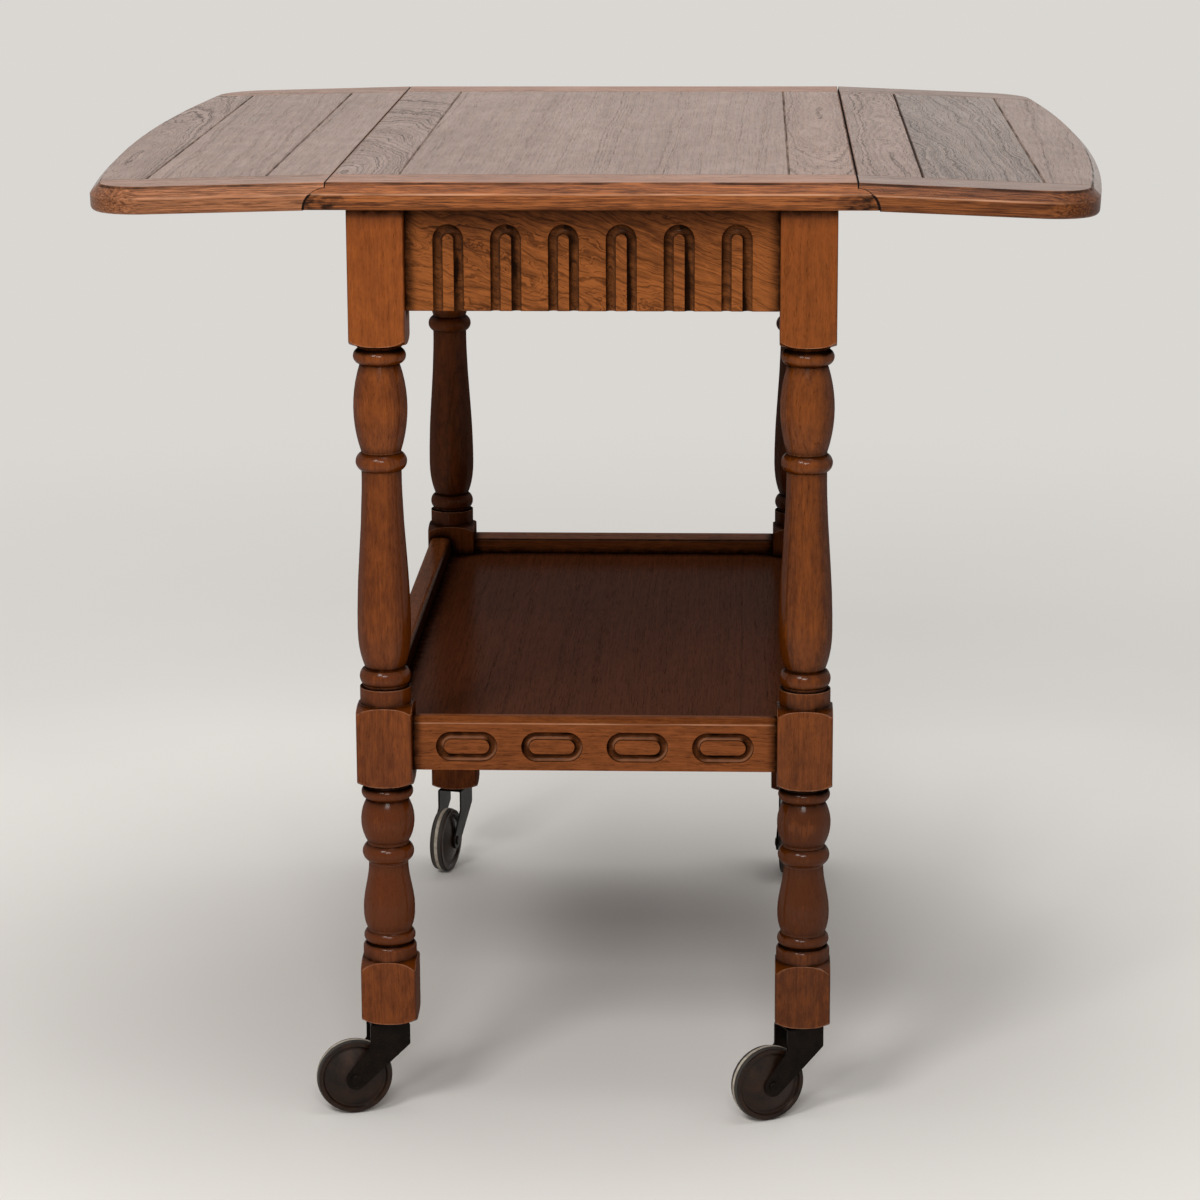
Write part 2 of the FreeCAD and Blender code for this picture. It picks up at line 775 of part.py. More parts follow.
def bracket_pin():
    floor = z_under - bracket_depth - bracket_floor_gap
    return Part.makeCylinder(
        bracket_pin_radius, z_under - floor + 2 * bracket_pin_seat,
        V(bracket_x, 0, floor - bracket_pin_seat), AXIS_Z)


def bracket(leaf_droop):
    """Right-hand fly bracket, folded back along +Y from its pivot."""
    half = apron_thickness / 2
    low = z_under - bracket_depth
    reach = bracket_length + bracket_x + half - joint_x
    fall = math.tan(math.radians(leaf_droop)) * reach + bracket_leaf_gap
    top = z_under - bracket_top_gap
    tip = bracket_length
    tip_low = low + bracket_rise
    tip_z = tip_low + bracket_tip_radius
    corner = bracket_tip_radius * (1 - math.sqrt(0.5))
    outline = Outline(-half, low)
    outline.line(0, low)
    outline.line(tip - bracket_tip_radius, tip_low)
    outline.arc(tip - corner, tip_low + corner, tip, tip_z)
    outline.line(tip, top - fall)
    outline.line(0, top)
    outline.line(-half, top)
    blade = outline.face().extrude(V(0, apron_thickness, 0))
    blade.rotate(V(0, 0, 0), AXIS_Z, 90)
    blade.translate(V(bracket_x + half, 0, 0))
    start = V(bracket_x, 0, low - 1)
    plan = Part.makeCylinder(half, bracket_depth + 2, start, AXIS_Z)
    plan = plan.fuse(box(bracket_x - half, bracket_x + half, 0, tip + 1, low - 1, z_under + 1))
    bore = Part.makeCylinder(bracket_pin_radius + running_clearance, bracket_depth + 2, start, AXIS_Z)
    return single(blade.common(plan).cut(bore))


def make_brackets():
    save("bracket_right", [bracket(right_droop)])
    save("bracket_left", [mirror_x(bracket(left_droop))])
    pin = bracket_pin()
    save("bracket_pins", [pin, mirror_x(pin)])


# ---- Shelf, glue blocks and their screws ----

def make_shelf():
    inner_x = side_rail_x - rail_thickness
    inner_y = end_rail_y - rail_thickness
    under = shelf_z - shelf_thickness
    board = box(-inner_x, inner_x, -inner_y, inner_y, under, shelf_z)
    corners = []
    for sx in (-1, 1):
        for sy in (-1, 1):
            corner = box(leg_inner_x, leg_x, leg_inner_y, leg_y, under - 1, shelf_z + 1)
            corner = mirror_x(corner) if sx < 0 else corner
            corners.append(mirror_y(corner) if sy < 0 else corner)
    save("shelf", [single(board.cut(corners))])
    end = box(-leg_inner_x, leg_inner_x, inner_y - batten_width, inner_y,
              under - batten_height, under)
    side = box(inner_x - batten_width, inner_x, -leg_inner_y, leg_inner_y,
               under - batten_height, under)
    save("shelf_battens", [end, mirror_y(end), side, mirror_x(side)])


def block_places():
    """Centres of the glue blocks: two on each end apron, two on each side."""
    y = end_apron_y - apron_thickness - block_size / 2
    x = side_apron_x - apron_thickness - block_size / 2
    ends = [(sx * end_block_x, sy * y, block_length, block_size)
            for sx in (-1, 1) for sy in (-1, 1)]
    sides = [(sx * x, sy * side_block_y, block_size, block_length)
             for sx in (-1, 1) for sy in (-1, 1)]
    return ends + sides


def top_holes():
    """Holes in the fixed top for the block screws and the bracket pins."""
    holes = [screw_hole(x, y, z_under - block_size, block_screw_length)
             for x, y, _, _ in block_places()]
    pin = bracket_pin()
    return holes + [pin, mirror_x(pin)]


def make_blocks():
    blocks = []
    screws = []
    for x, y, long_x, long_y in block_places():
        body = box(x - long_x / 2, x + long_x / 2, y - long_y / 2, y + long_y / 2,
                   z_under - block_size, z_under)
        blocks.append(single(body.cut(
            screw_hole(x, y, z_under - block_size, block_screw_length))))
        screws.append(screw(x, y, z_under - block_size, block_screw_length))
    save("glue_blocks", blocks)
    save("glue_block_screws", screws)


# ---- Casters ----
# Each caster is built with its pivot on the Z axis and its wheel towards +X.

def eye_point(angle):
    """Point on the rounded end of a fork arm, round the axle."""
    return V(caster_trail + fork_eye * math.cos(angle), 0, wheel_radius + fork_eye * math.sin(angle))


def tangent(point, side):
    """Direction in which a line from point touches the eye, above (1) or below (-1)."""
    away = point - V(caster_trail, 0, wheel_radius)
    return math.atan2(away.z, away.x) - side * math.acos(fork_eye / away.Length)


def channel(half, low, top, bend):
    """Long upright bar with its two upper edges rounded, from which the fork is cut."""
    start = -2 * fork_back
    end = caster_trail + 2 * fork_eye
    bar = box(start, end, -half, half, low, top)
    upper = [e for e in bar.Edges
             if e.BoundBox.XLength > end - start - 1 and e.BoundBox.ZMin > top - 1]
    return bar.makeFillet(bend, upper)


def fork():
    """Pressed fork: a channel cut to the side outline of its arms."""
    low = wheel_radius - fork_eye - 1
    body = channel(fork_half, low, fork_top, fork_bend)
    body = body.cut(channel(fork_gap / 2, low - 1, fork_top - fork_metal, fork_bend - fork_metal))

    side_z = fork_top - fork_side_drop
    below = tangent(V(-fork_back, 0, side_z), -1) - 2 * math.pi
    above = tangent(V(fork_front, 0, side_z), 1)
    middle = eye_point((below + above) / 2)
    outline = Outline(-fork_back, fork_top)
    outline.line(-fork_back, side_z)
    outline.line(eye_point(below).x, eye_point(below).z)
    outline.arc(middle.x, middle.z, eye_point(above).x, eye_point(above).z)
    outline.line(fork_front, side_z)
    outline.line(fork_front, fork_top)
    side = outline.face().extrude(V(0, 4 * fork_half, 0))
    side.translate(V(0, -2 * fork_half, 0))
    corners = [e for e in side.Edges if e.BoundBox.YLength > fork_half
               and min(abs(e.BoundBox.XMin + fork_back), abs(e.BoundBox.XMax - fork_front)) < 0.01]
    side = side.makeFillet(fork_corner, corners)
    stem_hole = Part.makeCylinder(stem_radius + running_clearance, 3 * fork_metal,
                                  V(0, 0, fork_top - 2 * fork_metal), AXIS_Z)
    axle_hole = rod(axle_radius, V(caster_trail, -2 * fork_half, wheel_radius),
                    V(caster_trail, 2 * fork_half, wheel_radius))
    return single(body.common(side).cut([stem_hole, axle_hole]))


def axle():
    """Axle riveted over on both outer faces of the fork."""
    pin = rod(axle_radius, V(caster_trail, -fork_half, wheel_radius),
              V(caster_trail, fork_half, wheel_radius))
    heads = []
    for side in (-1, 1):
        head = rod(axle_head_radius, V(caster_trail, side * fork_half, wheel_radius),
                   V(caster_trail, side * (fork_half + axle_head), wheel_radius))
        rim = [e for e in head.Edges
               if abs(abs(e.BoundBox.YMin) - fork_half - axle_head) < 0.01
               and e.BoundBox.YLength < 0.01]
        heads.append(head.makeFillet(axle_head_round, rim))
    return single(pin.fuse(heads))


def spun(outline):
    """Turn a wheel outline, drawn as radius and width, about the axle."""
    solid = outline.face().revolve(V(0, 0, 0), AXIS_Z, 360)
    solid.rotate(V(0, 0, 0), AXIS_X, 90)
    solid.translate(V(caster_trail, 0, wheel_radius))
    return single(solid)


def wheel():
    """Domed wheel with a hub, a lip on each side and a seat for the tyre."""
    bore = axle_radius + running_clearance
    hub = fork_gap / 2 - hub_gap
    web = tyre_half - dish_depth
    lip = tyre_half + flange_thickness
    dome_mid = (hub_radius + dome_radius) / 2
    dome_out = (hub + web) / 2 + dome_bulge
    outline = Outline(bore, -hub)
    outline.line(hub_radius, -hub)
    outline.arc(dome_mid, -dome_out, dome_radius, -web)
    outline.line(lip_foot_radius, -web)
    outline.line(lip_radius, -lip)
    outline.line(flange_radius, -lip)
    outline.line(flange_radius, -tyre_half)
    outline.line(tyre_seat_radius, -tyre_half)
    outline.line(tyre_seat_radius, tyre_half)
    outline.line(flange_radius, tyre_half)
    outline.line(flange_radius, lip)
    outline.line(lip_radius, lip)
    outline.line(lip_foot_radius, web)
    outline.line(dome_radius, web)
    outline.arc(dome_mid, dome_out, hub_radius, hub)
    outline.line(bore, hub)
    return spun(outline)


def tyre():
    outline = Outline(tyre_seat_radius, -tyre_half)
    outline.line(wheel_radius - tyre_shoulder, -tyre_half)
    outline.arc(wheel_radius, 0, wheel_radius - tyre_shoulder, tyre_half)
    outline.line(tyre_seat_radius, tyre_half)
    return spun(outline)


def stem():
    """Fixed pivot stem with the riveted head that carries the fork."""
    head_top = fork_top - fork_metal - stem_head_gap
    head = Part.makeCylinder(stem_head_radius, stem_head_height,
                             V(0, 0, head_top - stem_head_height), AXIS_Z)
    shaft = Part.makeCylinder(stem_radius, z_foot + stem_length - head_top,
                              V(0, 0, head_top), AXIS_Z)
    return single(head.fuse(shaft).removeSplitter())


def socket_space():
    """What the socket and stem take out of a leg at the origin."""
    return Part.makeCylinder(socket_radius, stem_length, V(0, 0, z_foot), AXIS_Z)


def socket():
    sleeve = Part.makeCylinder(socket_radius, stem_length, V(0, 0, z_foot), AXIS_Z)
    flange = Part.makeCylinder(socket_flange_radius, socket_flange,
                               V(0, 0, z_foot - socket_flange), AXIS_Z)
    hole = Part.makeCylinder(stem_radius, 2 * stem_length, V(0, 0, z_foot - stem_length), AXIS_Z)
    return single(sleeve.fuse(flange).removeSplitter().cut(hole))


def placed(shape, swivel, sx, sy):
    copy = shape.copy()
    copy.rotate(V(0, 0, 0), AXIS_Z, swivel)
    copy.translate(V(sx * leg_x, sy * leg_y, 0))
    return copy


def make_casters():
    stations = (
        ("front_left", front_left_swivel, -1, -1),
        ("front_right", front_right_swivel, 1, -1),
        ("back_left", back_left_swivel, -1, 1),
        ("back_right", back_right_swivel, 1, 1),
    )
    pieces = {"caster_fork": fork(), "caster_axle": axle(), "caster_wheel": wheel(),
              "caster_tyre": tyre()}
    for name, shape in pieces.items():
        for place, swivel, sx, sy in stations:
            save(name + "_" + place, [placed(shape, swivel, sx, sy)])
    save("caster_stems", [placed(stem(), 0, sx, sy) for _, _, sx, sy in stations])
    save("caster_sockets", [placed(socket(), 0, sx, sy) for _, _, sx, sy in stations])


# ---- Build ----

def make_frame():
    apron_end = end_tenons(end_apron_y, apron_thickness, apron_z, z_under)
    rail_end = end_tenons(end_rail_y, rail_thickness, rail_z, rail_z + rail_height)
    apron_side = side_tenons(side_apron_x, apron_thickness, apron_z, z_under)
    rail_side = side_tenons(side_rail_x, rail_thickness, rail_z, rail_z + rail_height)
    apron = back_apron(apron_end)
    rail = back_rail(rail_end)
    save("apron_back", [apron])
    save("apron_front", [mirror_y(apron)])
    save("rail_back", [rail])
    save("rail_front", [mirror_y(rail)])
    apron = side_apron(apron_side)
    rail = side_rail(rail_side)
    save("apron_right", [apron])
    save("apron_left", [mirror_x(apron)])
    save("rail_right", [rail])
    save("rail_left", [mirror_x(rail)])
    tenons = apron_end + rail_end
    tenons += [mirror_y(t) for t in tenons]
    sides = apron_side + rail_side
    tenons += sides + [mirror_x(t) for t in sides]
    make_legs(tenons, socket_space())


def main():
    slab = moulded_slab()
    for name, board in fixed_top_boards(slab).items():
        save(name, [board])
    make_leaf(slab, -1)
    make_leaf(slab, 1)
    make_hinges()
    make_frame()
    make_brackets()
    make_shelf()
    make_blocks()
    make_casters()


main()
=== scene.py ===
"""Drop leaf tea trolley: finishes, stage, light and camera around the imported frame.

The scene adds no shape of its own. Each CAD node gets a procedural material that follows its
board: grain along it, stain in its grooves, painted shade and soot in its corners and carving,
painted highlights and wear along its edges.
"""
import json
import math

import bpy
from mathutils import Matrix, Vector


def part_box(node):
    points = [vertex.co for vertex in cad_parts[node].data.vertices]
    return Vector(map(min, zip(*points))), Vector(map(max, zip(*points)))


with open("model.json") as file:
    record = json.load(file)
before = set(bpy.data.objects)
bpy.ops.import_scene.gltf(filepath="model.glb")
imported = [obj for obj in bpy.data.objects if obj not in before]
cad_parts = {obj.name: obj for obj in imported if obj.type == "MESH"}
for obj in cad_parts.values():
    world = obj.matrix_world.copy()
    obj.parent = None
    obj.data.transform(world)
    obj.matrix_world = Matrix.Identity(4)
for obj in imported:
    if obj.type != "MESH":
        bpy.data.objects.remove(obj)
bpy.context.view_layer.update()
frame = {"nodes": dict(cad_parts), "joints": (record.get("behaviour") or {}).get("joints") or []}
nodes = frame["nodes"]


# ---- Node graphs ----

NOISE_RANGE = (0.3, 0.7)        # holds nearly all of a noise's values


class Graph:
    """One material's node tree, with a short call for each kind of node."""

    def __init__(self, name):
        self.material = bpy.data.materials.new(name)
        self.material.use_nodes = True
        self.tree = self.material.node_tree
        self.tree.nodes.clear()

    def node(self, kind, **settings):
        made = self.tree.nodes.new("ShaderNode" + kind)
        for key, value in settings.items():
            setattr(made, key, value)
        return made

    def put(self, socket, value):
        """Link a socket to another one's value, or give it a value of its own."""
        if isinstance(value, bpy.types.NodeSocket):
            self.tree.links.new(value, socket)
        elif value is not None:
            socket.default_value = value

    def math(self, operation, a, b=None, clamp=False):
        made = self.node("Math", operation=operation, use_clamp=clamp)
        self.put(made.inputs[0], a)
        self.put(made.inputs[1], b)
        return made.outputs[0]

    def chain(self, operation, values):
        result = values[0]
        for value in values[1:]:
            result = self.math(operation, result, value)
        return result

    def add(self, *values):
        return self.chain("ADD", values)

    def times(self, *values):
        return self.chain("MULTIPLY", values)

    def most(self, *values):
        return self.chain("MAXIMUM", values)

    def minus(self, a, b):
        return self.math("SUBTRACT", a, b)

    def rest(self, value):
        """What value leaves of 1."""
        return self.math("SUBTRACT", 1.0, value)

    def size(self, value):
        return self.math("ABSOLUTE", value)

    def vector(self, operation, a, b=None):
        made = self.node("VectorMath", operation=operation)
        self.put(made.inputs[0], a)
        self.put(made.inputs[1], b)
        return made.outputs["Value" if operation in ("LENGTH", "DOT_PRODUCT") else "Vector"]

    def combine(self, x, y, z):
        made = self.node("CombineXYZ")
        for socket, value in zip(made.inputs, (x, y, z)):
            self.put(socket, value)
        return made.outputs[0]

    def split(self, vector):
        """The x, y and z of a vector."""
        made = self.node("SeparateXYZ")
        self.put(made.inputs[0], vector)
        return made.outputs

    def noise(self, vector, scale=1.0, detail=2.0, roughness=0.5, colour=False):
        made = self.node("TexNoise")
        self.put(made.inputs["Vector"], vector)
        made.inputs["Scale"].default_value = scale
        made.inputs["Detail"].default_value = detail
        made.inputs["Roughness"].default_value = roughness
        return made.outputs["Color" if colour else "Fac"]

    def span(self, value, low, high, to_low=0.0, to_high=1.0, smooth=False):
        """Map low and high to to_low and to_high, and keep to them beyond."""
        made = self.node("MapRange", clamp=True)
        made.interpolation_type = "SMOOTHSTEP" if smooth else "LINEAR"
        self.put(made.inputs["Value"], value)
        made.inputs["From Min"].default_value = low
        made.inputs["From Max"].default_value = high
        made.inputs["To Min"].default_value = to_low
        made.inputs["To Max"].default_value = to_high
        return made.outputs["Result"]

    def spread(self, noise, low, high):
        """Stretch a noise so that it runs from low to high."""
        return self.span(noise, *NOISE_RANGE, low, high)

    def near(self, value, position, inner, outer):
        """1 where value is within inner of position, falling to 0 at outer."""
        gap = self.size(self.minus(value, position))
        return self.span(gap, inner, outer, 1.0, 0.0, smooth=True)

    def mix(self, factor, a, b):
        made = self.node("Mix", data_type="RGBA", blend_type="MIX", clamp_factor=True)
        factor_socket, a_socket, b_socket = (made.inputs[i] for i in (0, 6, 7))
        self.put(factor_socket, factor)
        self.put(a_socket, a)
        self.put(b_socket, b)
        return made.outputs[2]

    def ramp(self, value, stops):
        made = self.node("ValToRGB")
        elements = made.color_ramp.elements
        while len(elements) < len(stops):
            elements.new(0.5)
        for element, (position, level) in zip(elements, stops):
            element.position = position
            element.color = (level, level, level, 1)
        self.put(made.inputs[0], value)
        return made.outputs[0]

    def bump(self, height, distance, strength, normal=None):
        made = self.node("Bump")
        made.inputs["Strength"].default_value = strength
        made.inputs["Distance"].default_value = distance
        self.put(made.inputs["Height"], height)
        self.put(made.inputs["Normal"], normal)
        return made.outputs[0]

    def surface(self, colour, roughness, normal, coat=None, **constants):
        """Finish the material with its shader. constants are sockets in small letters."""
        shader = self.node("BsdfPrincipled")
        self.put(shader.inputs["Base Color"], colour)
        self.put(shader.inputs["Roughness"], roughness)
        self.put(shader.inputs["Normal"], normal)
        self.put(shader.inputs["Coat Weight"], coat)
        for key, value in constants.items():
            socket = key.replace("_", " ").title().replace("Ior", "IOR")
            shader.inputs[socket].default_value = value
        out = self.node("OutputMaterial")
        self.tree.links.new(shader.outputs[0], out.inputs["Surface"])
        return self.material


def srgb(red, green, blue):
    """A screen colour, 0 to 255, as the linear colour that a shader takes."""
    def linear(channel):
        part = channel / 255
        return part / 12.92 if part <= 0.04045 else ((part + 0.055) / 1.055) ** 2.4
    return (linear(red), linear(green), linear(blue), 1)


def paint(material, *names):
    """Give CAD nodes one material."""
    for name in names:
        mesh = nodes[name].data
        mesh.materials.clear()
        mesh.materials.append(material)


# ---- Measures of the part, in metres ----

JOINTS = {joint["name"]: joint for joint in frame["joints"]}
JOINT_X = JOINTS["leaf_right_hinge"]["pos_m"][0]
PIVOT_Z = JOINTS["leaf_right_hinge"]["pos_m"][2]
LEFT_DROOP = math.radians(JOINTS["leaf_left_hinge"]["range_deg"][1])
RIGHT_DROOP = math.radians(JOINTS["leaf_right_hinge"]["range_deg"][1])
TOP_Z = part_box("top_panel")[1].z
STILE_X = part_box("top_panel")[1].x
BORDER_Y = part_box("top_panel")[1].y
TOP_DEPTH = TOP_Z - PIVOT_Z
JOINT_RADIUS = 0.0163           # of the rule joints
SLOPE_DROP = 0.0073             # from the top down to the foot of the edge's slope
SLOPE_FOOT = TOP_DEPTH - SLOPE_DROP
LEAF_INNER_X = JOINT_X + 0.0491     # grooves between the leaves' boards
LEAF_OUTER_X = JOINT_X + 0.1389
GROOVE_REACH = (0.0012, 0.0015)     # a groove's wall ends between these distances from its line
BOARD_LINE = 0.0010             # half widths of the dark lines in the grooves
BORDER_LINE = 0.0006
RAIL_BROW = 0.0041              # the end rails' slope ends this far below their top
OVAL_DEPTH = 0.0042             # what is cut into the end rails lies less deep than this
OVAL_MARGIN = 0.006             # plain strip above the ovals
FLUTE_PITCH = 0.0428
FLUTE_DEPTH = 0.0050
FLUTE_MARGIN = 0.008
BAND_HALF = 0.0013              # half the width of the pale band round a tyre
BAND_FADE = 0.0004


# ---- Oak: tones ----

class Tone:
    """Colours of a finish: late and early wood, pores, and stain and painted shade in corners."""

    def __init__(self, light, dark, pore, stain_and_shade, factor=1.0):
        self.written = (light, dark, pore, stain_and_shade)
        self.light, self.dark, self.pore, self.stain_and_shade = (
            tuple(part * factor for part in srgb(*colour)[:3]) + (1,) for colour in self.written)

    def times(self, factor):
        """The same finish, darker or lighter."""
        return Tone(*self.written, factor=factor)


TOP_TONE = Tone((124, 78, 50), (82, 48, 30), (32, 19, 13), (16, 9, 6))
EDGE_TONE = Tone((164, 97, 52), (84, 42, 20), (34, 16, 8), (16, 8, 5))
FADED_EDGE_TONE = Tone((167, 110, 75), (92, 53, 31), (40, 20, 11), (16, 8, 5))
LEG_TONE = Tone((142, 74, 26), (87, 39, 6), (46, 20, 6), (13, 6, 3))
RIGHT_LEG_TONE = Tone((133, 69, 22), (76, 34, 4), (43, 18, 5), (12, 6, 3))
# back legs: the legs' wood darkened as painted shade under the top
SHADED_BACK_LEG_TONE = Tone((122, 63, 25), (71, 33, 11), (34, 16, 7), (11, 5, 3))
RAIL_TONE = Tone((146, 82, 42), (84, 42, 19), (40, 18, 8), (13, 6, 3))
APRON_TONE = Tone((148, 85, 41), (77, 40, 17), (30, 15, 7), (18, 9, 5))
SHELF_TONE = Tone((89, 47, 26), (66, 35, 19), (34, 17, 10), (16, 8, 5))
INSIDE_TONE = Tone((150, 104, 66), (118, 78, 46), (80, 50, 30), (40, 24, 14))
# pale wood of rubbed edges, also the colour of painted highlights and painted light
PALE_WEAR_AND_HIGHLIGHT = srgb(198, 146, 114)
# pale grey of the painted sheen on the walls of the top's grooves
GROOVE_WALL_SHEEN = srgb(152, 132, 120)


# ---- Oak: patterns ----

# Object axes along the grain, across it and into the board
X_AXES = (0, 1, 2)
Y_AXES = (1, 0, 2)
Z_AXES = (2, 0, 1)
FRONT_AXES = (0, 2, 1)
SIDE_AXES = (1, 2, 0)

# How a board is cut and finished
PLAIN_CUT = dict(
    heart=(0, 0, 0),            # the log's centre line: across, depth and slope
    slant=0.0,                  # how far the grain runs off the board's own direction
    spacing=0.003,              # between growth rings
    warp=0.002,                 # how far the rings wander, and how often (rates as below)
    bend=(7, 22),
    ripple=0.0008,              # how far they waver
    ring=0.4,                   # strength of the rings and of the pores
    pores=0.7,
    dashes=(80, 1500),          # rates of short pores, long pores and fibres
    runs=(30, 650),
    long=1.0,                   # strength of the long pores
    fibre=(14, 480),
    streak=0.3,                 # how much fibres and mottling change the colour
    mottle=0.1,
    gloss=0.33,                 # the lacquer's roughness, reflection and coat
    specular=0.25,
    coat=0.1,
    coat_gloss=0.2,
    coat_facing=0.0,            # share of the coat that only upper faces have
    reach=0.005,                # how far from a corner painted shade and stain reach, and how strong they are
    soil=1.0,
    wear=0.0,                   # strength of the pale rubbed edges
    pitch=0.0,                  # of repeated carving, whose halves get more or less painted shade and soot
    lit=1.0,                    # strength of the painted light on the carving's upper walls
)

# Rates: how often a pattern changes in a metre, along the grain and across it
RIPPLE_RATE = (75, 110)
MOTTLE_RATE = (80, 190)
PATCH_RATE = (4, 14)
SMEAR_RATE = (150, 150)
ARRIS_RATE = (25, 60)
BROW_RATE = (16, 260)
WOBBLE_RATE = (45, 90)
GRIME_RATE = (70, 70, 26)       # these two in the part's x, y and z
HALO_RATE = (130, 130, 300)
UNEVEN_RATE = 90

# Early wood along a year's growth: (place in the year, how much)
RING_PROFILE = [(0.0, 0.85), (0.06, 1.0), (0.3, 0.35), (0.6, 0.05), (0.93, 0.0), (1.0, 0.85)]

# Results of spans from 0 to 1
YEAR_STRENGTH = (0.5, 1.0)      # early wood in the weakest and in the strongest year
PORE_SHARE = (0.25, 1.0)        # short pores in late and in early wood
RUN_SHARE = (0.2, 1.0)          # and long ones

# Spans: from, to, the result at from, the result at to
PORE_START = (0.54, 0.66)       # a pore shows where its noise passes this
RING_START = (0.2, 0.6)         # and a ring's own line where early wood passes this
RING_BREAKS = (0.35, 0.6, 0.45, 1.0)
END_FACING = (0.3, 0.95)        # how far a surface looks along the grain
UP_FACING = (0.86, 0.97)        # or upward, for a strip's upper face
UNLIT_FACING = (0.2, 0.9)       # or towards the side that gets painted shade
TURNED_SHADE = (0.0198, 0.0209, 0.22, -0.05)     # painted shade by distance from a leg's middle: turned, then its blocks
HEIGHT_SHADE = (0.22, 0.6, 0.62, -0.1)           # painted shade up a leg, darkest at its foot
FLANK_SHADE = (0.35, 0.95, -0.06, 0.4)           # painted shade by how far a leg's surface looks sideways

# Strengths and shares
SEED_SHIFT = (1.37, 0.61, 0.23)     # moves a board's patterns, times its seed
NOISE_MIDDLE = (0.5, 0.5, 0.5)
BEND_GAIN = 4                   # makes up for a noise's narrow swing
RING_JITTER = 3.5               # how unevenly the rings follow each other, in rings
PLAIN_DARKNESS = 0.28           # late wood's, and below it what each pattern adds
RING_DARKNESS = 0.5
PATCH_DARKNESS = 0.16
ROUNDED_SHADE = 0.2
END_DARKNESS = 0.6
DARKEST = 1.2
ROUNDED_UP = (0.74, 0.12, 0.25)     # painted shade where a rounded edge looks this far up, and its two margins
END_PORE_LOSS = 0.85            # share of the pores that don't show in end grain
# strength of the painted shade on unlit faces
UNLIT_SHADE = 0.85


def figure(g, grain, rate, **settings):
    """Noise that is drawn out along the grain."""
    slow, quick = rate
    return g.noise(g.vector("MULTIPLY", grain, (slow, quick, quick)), **settings)


class Place:
    """Where a shaded point of a board lies, which way it looks, and its place in the wood."""

    def __init__(self, g, axes, slant, seed, level):
        where = g.node("TexCoord").outputs["Object"]
        if level is not None:
            turn = g.node("VectorRotate", rotation_type="Y_AXIS")
            g.put(turn.inputs["Vector"], where)
            turn.inputs["Center"].default_value, turn.inputs["Angle"].default_value = level
            where = turn.outputs[0]
        self.where = where
        self.xyz = g.split(where)
        self.looks = g.split(g.node("TexCoord").outputs["Normal"])
        self.along, across, self.depth = (self.xyz[i] for i in axes)
        self.across = g.add(across, g.times(self.along, slant))
        self.grain = g.vector("ADD", g.combine(self.along, self.across, self.depth),
                              tuple(seed * part for part in SEED_SHIFT))
        self.end = g.span(g.size(self.looks[axes[0]]), *END_FACING)


def growth(g, at, cut):
    """Early wood of the growth rings, bent by the tree's own wander: 1 at a ring's start."""
    bends = []
    for rate, size in ((cut["bend"], cut["warp"]), (RIPPLE_RATE, cut["ripple"])):
        bend = figure(g, at.grain, rate, detail=2, colour=True)
        bend = g.vector("SUBTRACT", bend, NOISE_MIDDLE)
        bends.append(g.vector("MULTIPLY", bend, (0, size * BEND_GAIN, size * BEND_GAIN)))
    bent = g.vector("ADD", g.combine(0, at.across, at.depth), g.vector("ADD", *bends))
    _, across, depth = g.split(bent)
    heart_across, heart_depth, heart_slope = cut["heart"]
    side = g.minus(across, heart_across)
    down = g.add(g.minus(depth, heart_depth), g.times(at.along, heart_slope))
    radius = g.math("SQRT", g.add(g.times(side, side), g.times(down, down)))
    uneven = g.node("TexNoise", noise_dimensions="1D")
    g.put(uneven.inputs["W"], g.times(radius, UNEVEN_RATE))
    uneven.inputs["Detail"].default_value = 2
    count = g.add(g.math("DIVIDE", radius, cut["spacing"]),
                  g.times(uneven.outputs["Fac"], RING_JITTER))
    early = g.ramp(g.math("FRACT", count), RING_PROFILE)
    year = g.node("TexWhiteNoise", noise_dimensions="1D")
    g.put(year.inputs["W"], g.math("FLOOR", count))
    return g.times(early, g.span(year.outputs["Value"], 0, 1, *YEAR_STRENGTH))


def pore_dashes(g, at, early, cut):
    """Short and long dark dashes along the grain, crowded in the early wood."""
    dashes = figure(g, at.grain, cut["dashes"], detail=1.5)
    fine = g.times(g.span(dashes, *PORE_START, smooth=True), g.span(early, 0, 1, *PORE_SHARE))
    runs = figure(g, at.grain, cut["runs"], detail=2)
    long = g.times(g.span(runs, *PORE_START, 0.0, cut["long"], smooth=True),
                   g.span(early, 0, 1, *RUN_SHARE))
    ring = g.span(early, *RING_START, 0.0, cut["ring"])
    return g.most(fine, long, g.times(ring, g.span(dashes, *RING_BREAKS)))


